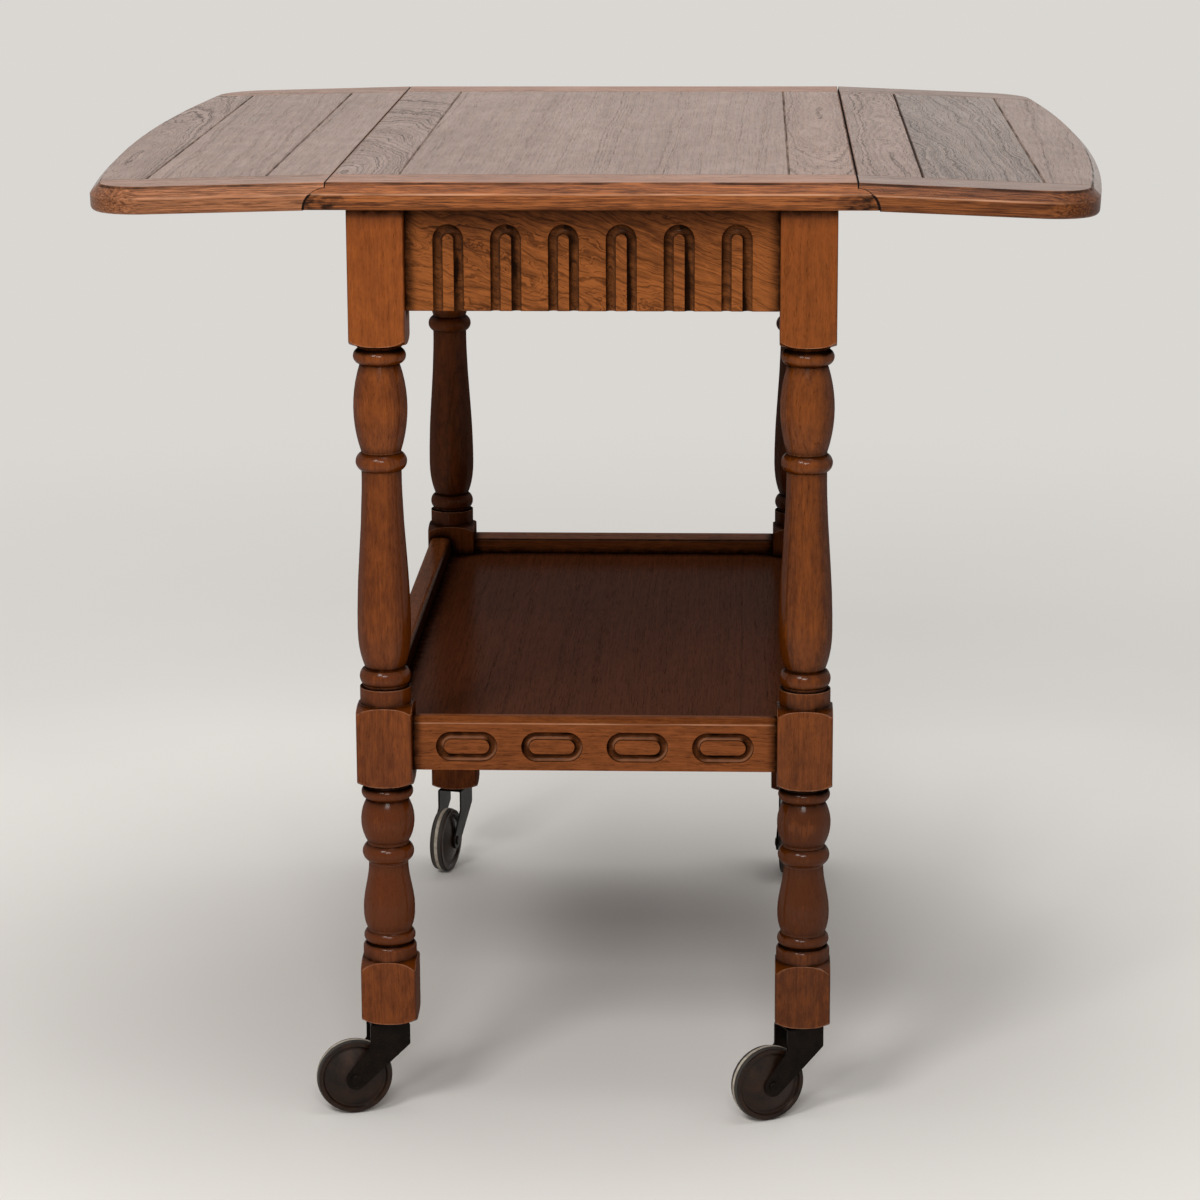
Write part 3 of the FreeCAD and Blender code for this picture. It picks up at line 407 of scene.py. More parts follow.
def wood_darkness(g, at, early, patch, cut, fades, turned, arris):
    """How far the wood's colour lies from its light tone, 0, towards its dark one, 1."""
    fibre = figure(g, at.grain, cut["fibre"], detail=4, roughness=0.6)
    mottle = figure(g, at.grain, MOTTLE_RATE, detail=4, roughness=0.6)
    darkness = g.add(g.times(early, cut["ring"] * RING_DARKNESS), PLAIN_DARKNESS,
                     g.spread(fibre, -cut["streak"], cut["streak"]),
                     g.spread(mottle, -cut["mottle"], cut["mottle"]),
                     g.spread(patch, -PATCH_DARKNESS, PATCH_DARKNESS))
    # painted shade on a leg: on its turned parts, towards its foot and on its flanks
    if turned is not None:
        offset = g.vector("SUBTRACT", at.where, (*turned, 0))
        radius = g.vector("LENGTH", g.vector("MULTIPLY", offset, (1, 1, 0)))
        darkness = g.add(darkness, g.span(radius, *TURNED_SHADE), g.span(at.xyz[2], *HEIGHT_SHADE),
                         g.span(g.size(at.looks[0]), *FLANK_SHADE))
    for axis, start, end, change in fades:
        darkness = g.add(darkness, g.span(g.size(at.xyz[axis]), start, end, 0.0, change))
    if arris is not None:
        # painted shade on the slope of a moulded edge
        rounding = g.near(at.looks[2], *ROUNDED_UP)
        darkness = g.add(darkness, g.times(rounding, ROUNDED_SHADE))
    darkness = g.add(darkness, g.times(at.end, END_DARKNESS))
    return g.most(g.math("MINIMUM", darkness, DARKEST), 0.0)


def wood_colour(g, at, darkness, pore, tone, face, unlit, pores):
    """Light and dark wood with its pores, on a strip's edge and on its upper face."""
    light, dark, pore_colour = tone.light, tone.dark, tone.pore
    if face is not None:
        up = g.span(at.looks[2], *UP_FACING)
        light, dark, pore_colour = (g.mix(up, a, b) for a, b in (
            (light, face.light), (dark, face.dark), (pore_colour, face.pore)))
    colour = g.mix(darkness, light, dark)
    colour = g.mix(g.times(pore, pores), colour, pore_colour)
    # painted shade on the side that looks away from the light
    if unlit is not None:
        axis, sign = unlit
        away = g.span(g.times(at.looks[axis], sign), *UNLIT_FACING)
        colour = g.mix(g.times(away, UNLIT_SHADE), colour, tone.stain_and_shade)
    return colour


# ---- Oak: painted shade, stain, carving, painted highlights and wear ----

AO_SAMPLES = 8
CORNER_SHADE_AND_STAIN = (1.3, 2.6)       # least and most painted shade and stain in corners
WALL_SHEEN_SHARE = 0.8                # how strong the painted sheen on the walls of the faintest groove is
LINE_LEAST = 0.4                # width of the faintest groove's line beside the strongest's
LINE_CORE = 0.35                # share of a line that is dark all over
LINE_BREAKS = (0.3, 0.6)        # a line goes from faint to full over this part of the smear
LINE_FAINT = 0.7
CURVE_INWARD = 0.0012           # a rule joint's curve starts this far inward of its pivot
CURVE_HALF = (0.0004, 0.0012)   # half width of the curve's dark line, inside and out
CURVE_DIRT = (0.0004, 0.0006)   # and what dirt adds to it
MARK_FADE = 0.001               # width of the soft edge of a mark
STEP_HALF = (0.0003, 0.0008)    # half width of the short line above the curve
STEP_STRENGTH = 0.7
HALO_INWARD = (0.020, 0.004)    # dirt on the wood beside the joint starts and is full here
HALO_BELOW = 0.003              # and fades from this far below the slope's foot
HALO_START = (0.36, 0.6)
HALO_STRENGTH = (0.1, 0.9)
FRONT_FACING = (0.3, 0.6)       # how far a surface looks to the front or back
CUT_DEEP = (0.0003, 0.0024)     # carving is dark from here below its face
CUT_MARGIN = 0.0005
GRIME = (0.4, 0.62, 0.42, 0.97)
HALF_PITCH = (0.5, 0.52, 0.75, 1.3)     # painted shade and soot in each half of repeated carving
SHADE_LEAN = (-0.3, 0.6, 1.0, 0.2)       # painted shade by how far a wall looks up and to the left
LIT_LEAN = (0.1, 0.7)
LEAN_LEFT = 0.8                 # weight of looking left beside looking up
LIT_CLEAN = 0.8                 # how much painted shade and stain a wall with painted light loses
LIT_PALE = 0.26                 # and how strong that painted light is
PATCHY = (0.38, 0.6)            # a broken line shows where its noise passes this
ARRIS_DROP = 0.0010             # the dark line along a worn upper edge
ARRIS_HALF = (0.0004, 0.0012)
ARRIS_STRENGTH = (0.1, 0.8)
BROW_CORE = 0.4                 # share of the painted highlight under a slope that is fully bright
BROW_FAINT = 0.2                # what is left of it where it breaks
BROW_ENDS = (0.29, 0.35, 1.0, 0.25)     # and towards the outer ends of the leaves
BEVEL_SAMPLES = 6
WEAR_RADIUS = 0.0016
WEAR_BREAKS = (0.35, 0.6, 0.3, 1.0)     # wear by the smear, and by the stain and painted shade that lie there
WEAR_CLEAN = (0.15, 0.5, 1.0, 0.0)
EDGE_TURN = (0.93, 0.99, 1.0, 0.0)      # how far the rounded normal turns from the plain one
# the most that painted shade and stain darken a colour
SHADE_AND_STAIN_MOST = 0.96


def edges(g, radius):
    """1 where two surfaces meet in an edge."""
    soft = g.node("Bevel", samples=BEVEL_SAMPLES)
    soft.inputs["Radius"].default_value = radius
    turn = g.vector("DOT_PRODUCT", soft.outputs[0], g.node("NewGeometry").outputs["Normal"])
    return g.span(turn, *EDGE_TURN)


def corner_shade_and_stain(g, smear, cut):
    """Painted shade, with stain, in corners and creases, from ambient occlusion."""
    shade = g.node("AmbientOcclusion", samples=AO_SAMPLES)
    shade.inputs["Distance"].default_value = cut["reach"]
    return g.times(g.rest(shade.outputs["AO"]),
                   g.spread(smear, *(most * cut["soil"] for most in CORNER_SHADE_AND_STAIN)))


def groove_line_and_sheen(g, at, smear, groove, colour, shade_and_stain):
    """A dark line in a V groove with painted sheen on its walls, and how dull the groove is."""
    axis, position, strength, half = groove
    wall = g.near(at.xyz[axis], position, *GROOVE_REACH)
    # painted sheen on the walls, which also takes their painted shade away
    pale = g.times(wall, (1 - strength) * WALL_SHEEN_SHARE)
    colour = g.mix(pale, colour, GROOVE_WALL_SHEEN)
    shade_and_stain = g.times(shade_and_stain, g.rest(pale))
    half = half * (LINE_LEAST + (1 - LINE_LEAST) * strength)
    line = g.near(at.xyz[axis], position, half * LINE_CORE, half)
    line = g.times(line, g.span(smear, *LINE_BREAKS, strength * LINE_FAINT, strength))
    return colour, g.most(shade_and_stain, line), wall


def joint_stain(g, at, joint, shade_and_stain):
    """The curve of a rule joint on a strip's front edge, its step and the dirt beside it."""
    x, z, dirt = joint
    foot = z + SLOPE_FOOT
    arm = g.combine(g.minus(at.xyz[0], x), 0, g.minus(at.xyz[2], z))
    radius = g.vector("LENGTH", arm)
    out = g.times(at.xyz[0], math.copysign(1, x))
    below = g.times(g.span(out, abs(x) - CURVE_INWARD, abs(x)),
                    g.span(at.xyz[2], foot - MARK_FADE, foot, 1.0, 0.0))
    inner, outer = (half + more * dirt for half, more in zip(CURVE_HALF, CURVE_DIRT))
    curve = g.times(g.near(radius, JOINT_RADIUS, inner, outer), below)
    start, full = (abs(x) - inward for inward in HALO_INWARD)
    halo = g.times(g.span(at.xyz[2], foot - HALO_BELOW, foot + MARK_FADE, 1.0, 0.0),
                   g.times(g.span(out, start, full),
                           g.span(radius, JOINT_RADIUS, JOINT_RADIUS + MARK_FADE, 1.0, 0.0)))
    patches = g.noise(g.vector("MULTIPLY", at.where, HALO_RATE), detail=5)
    halo = g.times(halo, g.span(patches, *HALO_START, *(most * dirt for most in HALO_STRENGTH)))
    top = z + TOP_DEPTH
    step = g.times(g.near(at.xyz[0], x, *STEP_HALF), STEP_STRENGTH,
                   g.span(at.xyz[2], top - 2 * MARK_FADE, top - MARK_FADE))
    end_face = g.span(g.size(at.looks[1]), *FRONT_FACING)
    return g.most(shade_and_stain, g.most(g.times(g.most(curve, halo), end_face), step))


def carving_shade_and_soot(g, at, carved, cut, seed, colour, shade_and_stain):
    """Painted shade and soot in what is cut below a face, with painted light on its upper walls.
    """
    axis, face, direction, deep, low, high = carved
    sunk = g.times(g.minus(at.xyz[axis], face), direction)
    cleft = g.times(g.span(sunk, *CUT_DEEP, smooth=True),
                    g.span(sunk, deep, deep + CUT_MARGIN, 1.0, 0.0),
                    g.span(at.xyz[2], low, low + CUT_MARGIN),
                    g.span(at.xyz[2], high, high + CUT_MARGIN, 1.0, 0.0))
    grime = g.vector("ADD", g.vector("MULTIPLY", at.where, GRIME_RATE), (seed, 0, 0))
    shade_and_soot = g.times(cleft, g.span(g.noise(grime, detail=4), *GRIME))
    if cut["pitch"] > 0:
        repeat = g.math("FRACT", g.math("DIVIDE", at.xyz[0], cut["pitch"]))
        shade_and_soot = g.times(shade_and_soot, g.span(repeat, *HALF_PITCH))
    # walls that look down and right get the most painted shade, walls that look up get painted
    # light
    lean = g.minus(at.looks[2], g.times(at.looks[0], LEAN_LEFT))
    shade_and_soot = g.times(shade_and_soot, g.span(lean, *SHADE_LEAN))
    lit = g.times(cleft, g.times(g.span(lean, *LIT_LEAN), cut["lit"]))
    shade_and_stain = g.times(shade_and_stain, g.rest(g.times(lit, LIT_CLEAN)))
    return g.mix(g.times(lit, LIT_PALE), colour, PALE_WEAR_AND_HIGHLIGHT), g.most(shade_and_stain, shade_and_soot)


def arris_dark_line(g, at, arris, shade_and_stain):
    """A broken dark line just under a worn upper edge."""
    line = g.near(at.xyz[2], arris - ARRIS_DROP, *ARRIS_HALF)
    broken = g.span(figure(g, at.grain, ARRIS_RATE, detail=3), *PATCHY, *ARRIS_STRENGTH)
    return g.most(shade_and_stain, g.times(line, broken))


def brow_highlight(g, at, brow, colour):
    """A painted highlight along the edge under a slope."""
    height, half, strength = brow
    broken = g.span(figure(g, at.grain, BROW_RATE, detail=4),
                    *PATCHY, BROW_FAINT * strength, strength)
    bright = g.times(g.near(at.xyz[2], height, half * BROW_CORE, half), broken,
                     g.span(g.size(at.xyz[0]), *BROW_ENDS))
    return g.mix(bright, colour, PALE_WEAR_AND_HIGHLIGHT)


def rubbed_wear(g, smear, wear, colour, shade_and_stain):
    """Edges rubbed pale where neither stain nor painted shade lies."""
    rubbed = g.times(edges(g, WEAR_RADIUS), g.span(smear, *WEAR_BREAKS),
                     g.span(shade_and_stain, *WEAR_CLEAN))
    return g.mix(g.times(rubbed, wear), colour, PALE_WEAR_AND_HIGHLIGHT)


# ---- Oak: lacquer ----

COAT_UP = (0.8, 0.95)           # how far a surface looks up
COAT_SIDE = (0.8, 0.98, 1.0, 0.3)       # and sideways, where the coat is thin
GLOSS_SWING = (-0.04, 0.06)     # how roughness varies from patch to patch
PORE_ROUGHNESS = 0.18           # and what pores, painted shade and stain add to it
SHADE_AND_STAIN_ROUGHNESS = 0.4
PORE_DULLS = 0.8                # share of the coat that pores and grooves lack
GROOVE_DULLS = 0.8
PORE_RELIEF = -1.0
RING_RELIEF = -0.35
WOBBLE_BUMP = dict(distance=0.0004, strength=0.5)
RELIEF_BUMP = dict(distance=0.00015, strength=0.8)


def lacquer(g, at, colour, early, pore, patch, shade_and_stain, dull, cut):
    """The lacquer's gloss and coat, over wood that wobbles and has open pores."""
    rough = g.add(g.spread(patch, *(cut["gloss"] + swing for swing in GLOSS_SWING)),
                  g.times(pore, PORE_ROUGHNESS))
    rough = g.math("ADD", rough, g.times(shade_and_stain, SHADE_AND_STAIN_ROUGHNESS), clamp=True)
    whole = g.math("SUBTRACT", 1.0, g.most(shade_and_stain, g.times(pore, PORE_DULLS)), clamp=True)
    side_coat = cut["coat"] * (1 - cut["coat_facing"])
    coat = g.times(whole, g.span(at.looks[2], *COAT_UP, side_coat, cut["coat"]),
                   g.span(g.size(at.looks[0]), *COAT_SIDE), g.rest(g.times(dull, GROOVE_DULLS)))
    normal = g.bump(figure(g, at.grain, WOBBLE_RATE, detail=2), **WOBBLE_BUMP)
    relief = g.add(g.times(pore, PORE_RELIEF), g.times(early, RING_RELIEF))
    normal = g.bump(relief, normal=normal, **RELIEF_BUMP)
    return g.surface(colour, rough, normal, coat, specular_ior_level=cut["specular"],
                     coat_roughness=cut["coat_gloss"])


def oak(name, tone, axes, grooves=(), joints=(), carved=None, arris=None, brow=None, face=None,
        fades=(), unlit=None, turned=None, level=None, seed=0.0, **changes):
    """Stained and lacquered oak for one board.

    axes are the object axes along the grain, across it and into the board. grooves are dark lines
    with painted sheen on their walls: (axis, position, strength, half width). joints are the rule
    joints (x, z, dirt) that end in this board's edge. carved = (axis, face, direction, depth, low,
    high) gives painted shade and soot to what is cut below a face between two heights, and painted
    light to its upper walls. arris is the height of a worn upper edge, and brow that of a painted
    highlight along the edge under a slope: (height, half width, strength). face is the tone of
    what looks up. fades = (axis, start, end, change) darken or lighten a board towards its ends or
    its top. unlit = (axis, sign) is the side that gets painted shade. turned = (x, y) is a leg's
    middle line, round which its turned parts, flanks and foot get painted shade. level = (pivot,
    angle) turns a drooping leaf's coordinates level. changes are what differs from PLAIN_CUT.
    """
    cut = dict(PLAIN_CUT, **changes)
    g = Graph(name)
    at = Place(g, axes, cut["slant"], seed, level)
    early = growth(g, at, cut)
    pore = g.times(pore_dashes(g, at, early, cut), g.rest(g.times(at.end, END_PORE_LOSS)))
    patch = figure(g, at.grain, PATCH_RATE, detail=3)
    smear = figure(g, at.grain, SMEAR_RATE, detail=3)
    darkness = wood_darkness(g, at, early, patch, cut, fades, turned, arris)
    colour = wood_colour(g, at, darkness, pore, tone, face, unlit, cut["pores"])
    shade_and_stain = corner_shade_and_stain(g, smear, cut)
    dull = 0.0
    for groove in grooves:
        colour, shade_and_stain, wall = groove_line_and_sheen(g, at, smear, groove, colour, shade_and_stain)
        dull = g.most(dull, wall)
    for joint in joints:
        shade_and_stain = joint_stain(g, at, joint, shade_and_stain)
    if carved is not None:
        colour, shade_and_stain = carving_shade_and_soot(g, at, carved, cut, seed, colour, shade_and_stain)
    if arris is not None:
        shade_and_stain = arris_dark_line(g, at, arris, shade_and_stain)
    if brow is not None:
        colour = brow_highlight(g, at, brow, colour)
    if cut["wear"] > 0:
        colour = rubbed_wear(g, smear, cut["wear"], colour, shade_and_stain)
    # painted shade and stain from corners, grooves, joints, carving and the arris line
    colour = g.mix(g.math("MINIMUM", shade_and_stain, SHADE_AND_STAIN_MOST), colour, tone.stain_and_shade)
    return lacquer(g, at, colour, early, pore, patch, shade_and_stain, dull, cut)


# ---- Boards of the top ----

# Log centres and figure of each board, and how dark its grooves are: (x, strength)
BOARDS = {
    "top_panel": dict(
        heart=(0.45, TOP_Z - 0.3, 0.02), spacing=0.0024, ripple=0.0005,
        lines=((-STILE_X, 0.3), (STILE_X, 0.2))),
    "top_stile_left": dict(
        heart=(-0.186, TOP_Z - 0.062, 0.22), spacing=0.0064, warp=0.005, ripple=0.0012,
        ring=1.0, pores=0.85, lines=((-JOINT_X, 0.75), (-STILE_X, 0.3))),
    "top_stile_right": dict(
        heart=(0.172, TOP_Z - 0.008, -0.07), spacing=0.0056, warp=0.006, ripple=0.0015,
        ring=0.85, pores=0.75, shade=1.15, lines=((STILE_X, 0.2), (JOINT_X, 1.0))),
    "leaf_left_inner": dict(
        heart=(-0.05, TOP_Z - 0.2, 0.02), spacing=0.0026, ring=0.45,
        lines=((-LEAF_INNER_X, 0.45), (-JOINT_X, 0.75))),
    "leaf_left_middle": dict(
        heart=(-0.02, TOP_Z - 0.25, -0.02), spacing=0.0026, warp=0.003, ring=0.45,
        lines=((-LEAF_OUTER_X, 0.4), (-LEAF_INNER_X, 0.45))),
    "leaf_left_outer": dict(
        heart=(-0.366, TOP_Z - 0.012, 0.07), spacing=0.0054, warp=0.004, ripple=0.0012,
        ring=0.95, pores=0.8, lines=((-LEAF_OUTER_X, 0.4),)),
    "leaf_right_inner": dict(
        heart=(0.226, TOP_Z - 0.007, 0.025), spacing=0.0058, warp=0.007, ripple=0.0016,
        ring=0.95, pores=0.85, lines=((JOINT_X, 1.0), (LEAF_INNER_X, 1.0))),
    "leaf_right_middle": dict(
        heart=(0.23, TOP_Z - 0.05, 0.05), spacing=0.0036, warp=0.006, ripple=0.0010,
        ring=0.85, pores=0.8, shade=0.62, lines=((LEAF_INNER_X, 1.0), (LEAF_OUTER_X, 0.4))),
    "leaf_right_outer": dict(
        heart=(0.44, TOP_Z - 0.08, 0.04), spacing=0.0034, warp=0.004,
        ring=0.5, shade=0.86, lines=((LEAF_OUTER_X, 0.4),)),
}
BOARD_ENDS = 0.5                # strength of the dark line at each end of a board
# Side of each border strip, tone of its moulded edge, how light its upper face is, and its coat
STRIPS = {
    "top_border": (0, EDGE_TONE.times(0.95), 1.6, 0.42),
    "leaf_left_border": (-1, FADED_EDGE_TONE, 1.35, 0.5),
    "leaf_right_border": (1, EDGE_TONE.times(0.66), 0.84, 0.62),
}
STRIP_ENDS = 0.4
TOP_FINISH = dict(gloss=0.36, specular=0.12, arris=TOP_Z)
BOARD_CUT = dict(axes=Y_AXES, reach=0.003, soil=0.5, coat=0.7, **TOP_FINISH)
STRIP_CUT = dict(
    axes=X_AXES, spacing=0.0035, ring=0.3, streak=0.7, fibre=(34, 900), dashes=(70, 1300),
    runs=(40, 900), pores=0.85, coat_facing=1.0,
    # brow: a painted highlight along the foot of the edge's slope
    brow=(TOP_Z - SLOPE_DROP - 0.0008, 0.0010, 0.85), **TOP_FINISH)


def leaf_level(name):
    """Pivot and angle that turn a leaf board's coordinates level."""
    if name.startswith("leaf_left"):
        return (-JOINT_X, 0, PIVOT_Z), LEFT_DROOP
    if name.startswith("leaf_right"):
        return (JOINT_X, 0, PIVOT_Z), -RIGHT_DROOP
    return None


def paint_top():
    """Each board and strip of the fixed top and the leaves has its own piece of log."""
    for index, (name, board) in enumerate(BOARDS.items()):
        cut = dict(BOARD_CUT, **board)
        tone = TOP_TONE.times(cut.pop("shade", 1.0))
        grooves = [(0, x, strength, BOARD_LINE) for x, strength in cut.pop("lines")]
        grooves += [(1, y, BOARD_ENDS, BORDER_LINE) for y in (-BORDER_Y, BORDER_Y)]
        paint(oak(name + "_oak", tone, grooves=grooves, level=leaf_level(name),
                  seed=1.0 + index, **cut), name)
    for index, (stem, (side, edge_tone, face_shade, coat)) in enumerate(STRIPS.items()):
        dirt = 1.0 if side == 0 else 0.0
        joints = [(x, PIVOT_Z, dirt) for x in (-JOINT_X, JOINT_X) if side * x >= 0]
        for end, sign in (("_front", -1), ("_back", 1)):
            name = stem + end
            paint(oak(name + "_oak", edge_tone, level=leaf_level(name), joints=joints,
                      grooves=[(1, sign * BORDER_Y, STRIP_ENDS, BORDER_LINE)],
                      face=TOP_TONE.times(face_shade), heart=(0.3 * sign, TOP_Z - 0.15, 0.02),
                      coat=coat, seed=14.0 + 3 * index + sign, **STRIP_CUT), name)


# ---- Legs, rails, aprons and shelf ----

# Each leg's log centre seen from the leg's middle, its tone, and its coat's weight and roughness
LEGS = {
    "leg_front_left": ((0.06, 0.05), LEG_TONE, 0.4, 0.17),
    "leg_front_right": ((-0.045, 0.06), RIGHT_LEG_TONE, 0.4, 0.17),
    # the back legs' darker tones are painted shade
    "leg_back_left": ((0.05, -0.06), SHADED_BACK_LEG_TONE, 0.16, 0.3),
    "leg_back_right": ((-0.06, -0.05), SHADED_BACK_LEG_TONE.times(0.87), 0.16, 0.3),
}
LEG_CUT = dict(
    axes=Z_AXES, spacing=0.0046, warp=0.004, ring=0.2, pores=0.5, dashes=(200, 1300), long=0.3,
    fibre=(30, 620), streak=0.14, mottle=0.22, specular=0.0, wear=0.4, reach=0.009, soil=1.4)


def paint_legs():
    for index, (name, (lean, tone, coat, coat_gloss)) in enumerate(LEGS.items()):
        low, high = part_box(name)
        middle = (low + high) / 2
        heart = (middle.x + lean[0], middle.y + lean[1], 0.03)
        paint(oak(name + "_oak", tone, heart=heart, turned=(middle.x, middle.y), coat=coat,
                  coat_gloss=coat_gloss, seed=20.0 + index, **LEG_CUT), name)


def carved_face(name, low, high):
    """Axis, place and inward direction of an end piece's outer face."""
    return (1, low.y, 1) if name.endswith("front") else (1, high.y, -1)


# Grain of each lower rail and fly bracket, and a factor that darkens it: painted shade under the
# top
RAILS = {
    "rail_front": (X_AXES, 0.81), "rail_back": (X_AXES, 0.76),
    "rail_left": (Y_AXES, 0.83), "rail_right": (Y_AXES, 0.83),
    "bracket_left": (Y_AXES, 0.8), "bracket_right": (Y_AXES, 0.8),
}
RAIL_CUT = dict(
    spacing=0.0036, ring=0.3, dashes=(150, 1300), long=0.5, fibre=(30, 480), streak=0.25,
    mottle=0.2, specular=0.0, coat=0.12, reach=0.008, soil=1.2, gloss=0.3)


def paint_rails():
    """End rails' ovals get painted shade and soot; side rails' inner faces get painted shade."""
    for index, (name, (axes, shade)) in enumerate(RAILS.items()):
        low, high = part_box(name)
        heart = (low[axes[1]] - 0.04, low[axes[2]] - 0.03, 0.03)
        special = {}
        if axes == X_AXES:
            special["carved"] = carved_face(name, low, high) + (
                OVAL_DEPTH, low.z, high.z - OVAL_MARGIN)
        if name == "rail_front":
            # a painted highlight along the foot of the front rail's slope
            special["brow"] = (high.z - RAIL_BROW, 0.0007, 0.5)
        elif name == "rail_back":
            special["grooves"] = [(2, high.z - RAIL_BROW, 0.8, 0.0012)]
        elif name in ("rail_left", "rail_right"):
            # the inner face gets painted shade
            special["unlit"] = (0, math.copysign(1, -low.x))
        paint(oak(name + "_oak", RAIL_TONE.times(shade), axes, heart=heart,
                  seed=30.0 + index, **special, **RAIL_CUT), name)


APRON_FINISH = dict(specular=0.02, coat=0.12, gloss=0.34)
END_APRON_CUT = dict(
    axes=FRONT_AXES, slant=0.34, spacing=0.0056, warp=0.009, bend=(12, 18), ripple=0.0014,
    ring=0.7, dashes=(120, 1300), long=0.5, fibre=(24, 420), streak=0.22, mottle=0.3,
    reach=0.010, pitch=FLUTE_PITCH, lit=0.35, **APRON_FINISH)
SIDE_APRON_CUT = dict(
    axes=SIDE_AXES, spacing=0.0048, warp=0.006, ring=0.6, reach=0.012, **APRON_FINISH)
END_FADE = (0, 0.098, 0.128, -0.34)     # an end apron is lighter towards its ends
TOP_SHADOW_FADE = (0.050, 0.006, 0.26)         # and darker towards its top: a painted shadow of the overhanging top


def paint_aprons():
    start, end, change = TOP_SHADOW_FADE
    for index, name in enumerate(("apron_front", "apron_back")):
        low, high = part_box(name)
        face = carved_face(name, low, high)
        paint(oak(name + "_oak", APRON_TONE,
                  heart=(low.z + 0.010, face[1] + face[2] * 0.030, 0.0),
                  fades=[END_FADE, (2, high.z - start, high.z - end, change)],
                  carved=face + (FLUTE_DEPTH, low.z - 0.001, high.z - FLUTE_MARGIN),
                  seed=41.0 + index, **END_APRON_CUT), name)
    for index, name in enumerate(("apron_left", "apron_right")):
        low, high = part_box(name)
        heart = ((low.z + high.z) / 2 + 0.02, low.x - 0.03, 0.04)
        paint(oak(name + "_oak", APRON_TONE, heart=heart, seed=45.0 + index,
                  **SIDE_APRON_CUT), name)


def paint_inside():
    """The shelf, and the plainer wood underneath."""
    low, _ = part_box("shelf")
    paint(oak("shelf_oak", SHELF_TONE, Y_AXES, heart=(0.6, low.z - 0.3, 0.0), spacing=0.0026,
              ring=0.2, specular=0.0, coat=0.06, gloss=0.5, reach=0.016, seed=50.0), "shelf")
    paint(oak("inside_oak", INSIDE_TONE, Y_AXES, heart=(0.3, 0.5, 0.01), gloss=0.6,
              coat=0.0, seed=51.0), "shelf_battens", "glue_blocks")


# ---- Metal and rubber ----

PATCHES = (0.35, 0.7)           # a patch of wear grows over this part of its noise
SPECKS = (0.6, 0.75, 0.0, 0.35)     # and specks of wear or dirt over these
GRIT = (0.62, 0.75, 0.0, 0.6)


def bronzed(name, dark, light, specular):
    """Dark bronze finish, worn to brighter metal in patches."""
    g = Graph(name)
    where = g.node("TexCoord").outputs["Object"]
    patch = g.noise(where, scale=90, detail=5, roughness=0.6)
    speck = g.noise(where, scale=700, detail=3)
    colour = g.mix(g.span(patch, *PATCHES), dark, light)
    colour = g.mix(g.span(speck, *SPECKS), colour, srgb(66, 48, 35))
    normal = g.bump(speck, distance=0.00006, strength=0.5)
    return g.surface(colour, g.spread(patch, 0.28, 0.44), normal,
                     metallic=0.2, specular_ior_level=specular)


def steel():
    """Plain steel, dulled and lightly scratched."""
    g = Graph("dull_steel")
    where = g.node("TexCoord").outputs["Object"]
    patch = g.noise(where, scale=120, detail=4)
    scratch = g.noise(g.vector("MULTIPLY", where, (900, 60, 900)), detail=2)
    colour = g.mix(g.span(patch, *PATCHES), srgb(120, 116, 108), srgb(88, 80, 70))
    normal = g.bump(scratch, distance=0.00004, strength=0.5)
    return g.surface(colour, g.spread(scratch, 0.34, 0.5), normal,
                     metallic=0.9)


def rubber(name, middle, axle):
    """Black tyre with a pale band worn round its tread. middle and axle are its wheel's."""
    g = Graph(name)
    where = g.node("TexCoord").outputs["Object"]
    patch = g.noise(where, scale=110, detail=5, roughness=0.65)
    grit = g.noise(where, scale=1300, detail=2)
    sideways = g.vector("DOT_PRODUCT", g.vector("SUBTRACT", where, middle), axle)
    band = g.near(sideways, 0.0, BAND_HALF, BAND_HALF + BAND_FADE)
    worn = g.span(patch, *PATCHES)
    pale = g.mix(worn, srgb(186, 178, 164), srgb(128, 116, 102))
    dark = g.mix(worn, srgb(30, 26, 23), srgb(52, 45, 39))
    colour = g.mix(band, dark, pale)
    colour = g.mix(g.span(grit, *GRIT), colour, srgb(70, 60, 52))
    normal = g.bump(grit, distance=0.0001, strength=0.6)
    return g.surface(colour, g.spread(patch, 0.6, 0.8), normal)


def paint_fittings():
    fork_bronze = bronzed("bronzed_fork", srgb(13, 9, 7), srgb(27, 19, 14), 0.08)
    wheel_bronze = bronzed("bronzed_wheel", srgb(22, 12, 6), srgb(48, 27, 14), 0.3)
    plain = steel()
    for name in nodes:
        if name.startswith(("caster_fork", "caster_axle")):
            paint(fork_bronze, name)
        elif name.startswith("caster_wheel"):
            paint(wheel_bronze, name)
        elif name.startswith("caster_tyre"):
            joint = JOINTS[name.replace("caster_tyre", "wheel_spin")]
            paint(rubber(name + "_rubber", joint["pos_m"], joint["axis"]), name)
        elif (name.startswith(("hinge_", "caster_s"))
              or name in ("bracket_pins", "glue_block_screws")):
            paint(plain, name)


# ---- Stage, light and camera ----

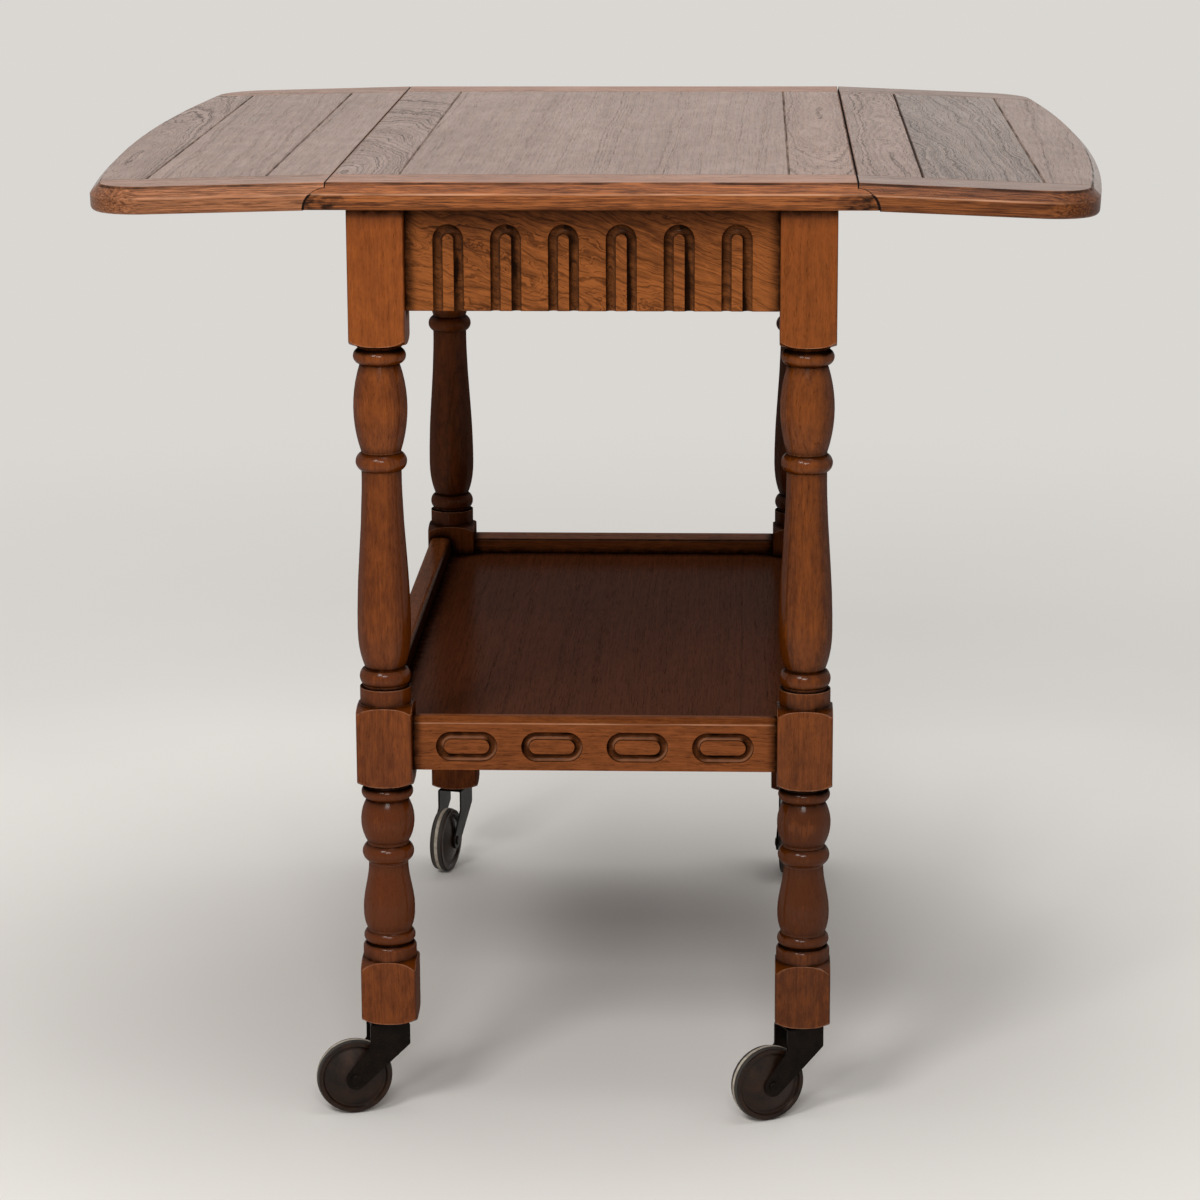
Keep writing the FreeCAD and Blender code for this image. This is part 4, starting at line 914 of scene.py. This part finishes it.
CAMERA_PLACE = Vector((0.118, -3.058, 1.070))
CAMERA_YAW = math.radians(2.38)
CAMERA_PITCH = math.radians(13.53)
CAMERA_ROLL = math.radians(-0.25)
CAMERA_LENS = 111.5
SENSOR_WIDTH = 36
FLOOR_SIZE = 30.0
FLOOR_COLOURS = srgb(226, 224, 221), srgb(232, 230, 227)
FADE_START = 0.7                # distances from the middle between which the floor fades
FADE_END = 2.6
BACKDROP = srgb(218, 215, 211)
SKY_COLOUR = (1.0, 0.985, 0.96, 1)
SKY_STRENGTH = 0.36
LIGHTS = (
    # name, place, aim, width, height, watts, colour
    ("key", (-0.9, -2.0, 2.1), (0, -0.1, 0.5), 0.6, 0.6, 22, (1.0, 0.97, 0.93)),
    ("overhead", (0.2, 0.3, 3.2), (0, 0, 0), 2.4, 2.4, 56, (1.0, 0.99, 0.97)),
    ("window", (0.0, -3.0, 2.1), (0, -0.3, 0.5), 1.0, 0.5, 32, (1.0, 0.98, 0.96)),
)


def seen_directly(tree):
    """1 for the camera's own rays and for what gloss and glass show of the backdrop."""
    rays = tree.nodes.new("ShaderNodeLightPath")
    seen = rays.outputs["Is Camera Ray"]
    for name in ("Is Glossy Ray", "Is Transmission Ray"):
        either = tree.nodes.new("ShaderNodeMath")
        either.operation = "MAXIMUM"
        tree.links.new(seen, either.inputs[0])
        tree.links.new(rays.outputs[name], either.inputs[1])
        seen = either.outputs[0]
    return seen


def make_floor():
    """Pale floor that keeps the shadow and runs out into the backdrop's colour."""
    bpy.ops.mesh.primitive_plane_add(size=FLOOR_SIZE, location=(0, 0, 0))
    floor = bpy.context.object
    floor.name = "floor"
    g = Graph("pale_floor")
    where = g.node("TexCoord").outputs["Object"]
    cloud = g.noise(where, scale=1.5, detail=3)
    near_by = g.node("BsdfDiffuse")
    g.put(near_by.inputs["Color"], g.mix(g.spread(cloud, 0.0, 1.0), *FLOOR_COLOURS))
    far_off = g.node("Emission")
    far_off.inputs["Color"].default_value = BACKDROP
    fade = g.span(g.vector("LENGTH", where), FADE_START, FADE_END, smooth=True)
    both = g.node("MixShader")
    g.put(both.inputs[0], g.times(fade, seen_directly(g.tree)))
    g.tree.links.new(near_by.outputs[0], both.inputs[1])
    g.tree.links.new(far_off.outputs[0], both.inputs[2])
    out = g.node("OutputMaterial")
    g.tree.links.new(both.outputs[0], out.inputs["Surface"])
    floor.data.materials.append(g.material)


def make_world():
    """Soft sky light, and a pale backdrop for the camera and for reflections."""
    world = bpy.data.worlds.new("studio")
    bpy.context.scene.world = world
    world.use_nodes = True
    tree = world.node_tree
    tree.nodes.clear()
    sky = tree.nodes.new("ShaderNodeBackground")
    sky.inputs["Color"].default_value = SKY_COLOUR
    sky.inputs["Strength"].default_value = SKY_STRENGTH
    backdrop = tree.nodes.new("ShaderNodeBackground")
    backdrop.inputs["Color"].default_value = BACKDROP
    mix = tree.nodes.new("ShaderNodeMixShader")
    tree.links.new(seen_directly(tree), mix.inputs[0])
    tree.links.new(sky.outputs[0], mix.inputs[1])
    tree.links.new(backdrop.outputs[0], mix.inputs[2])
    out = tree.nodes.new("ShaderNodeOutputWorld")
    tree.links.new(mix.outputs[0], out.inputs["Surface"])


def make_lights():
    for name, place, target, width, height, watts, colour in LIGHTS:
        light = bpy.data.lights.new(name, "AREA")
        light.shape = "RECTANGLE"
        light.size = width
        light.size_y = height
        light.energy = watts
        light.color = colour
        lamp = bpy.data.objects.new(name, light)
        bpy.context.scene.collection.objects.link(lamp)
        lamp.location = place
        towards = Vector(target) - lamp.location
        lamp.rotation_euler = towards.to_track_quat("-Z", "Y").to_euler()


def make_camera():
    """The photograph's camera, fitted to the corners that show in it."""
    right = Vector((math.cos(CAMERA_YAW), math.sin(CAMERA_YAW), 0))
    level = Vector((-math.sin(CAMERA_YAW), math.cos(CAMERA_YAW), 0))
    up = Vector((0, 0, 1))
    ahead = level * math.cos(CAMERA_PITCH) - up * math.sin(CAMERA_PITCH)
    head = level * math.sin(CAMERA_PITCH) + up * math.cos(CAMERA_PITCH)
    side = right * math.cos(CAMERA_ROLL) + head * math.sin(CAMERA_ROLL)
    head = head * math.cos(CAMERA_ROLL) - right * math.sin(CAMERA_ROLL)
    data = bpy.data.cameras.new("camera")
    data.lens = CAMERA_LENS
    data.sensor_width = SENSOR_WIDTH
    camera = bpy.data.objects.new("camera", data)
    bpy.context.scene.collection.objects.link(camera)
    turn = Matrix((side, head, -ahead)).transposed().to_4x4()
    camera.matrix_world = Matrix.Translation(CAMERA_PLACE) @ turn
    bpy.context.scene.camera = camera


paint_top()
paint_legs()
paint_rails()
paint_aprons()
paint_inside()
paint_fittings()
make_floor()
make_world()
make_lights()
make_camera()
bpy.context.scene.view_settings.view_transform = "Standard"
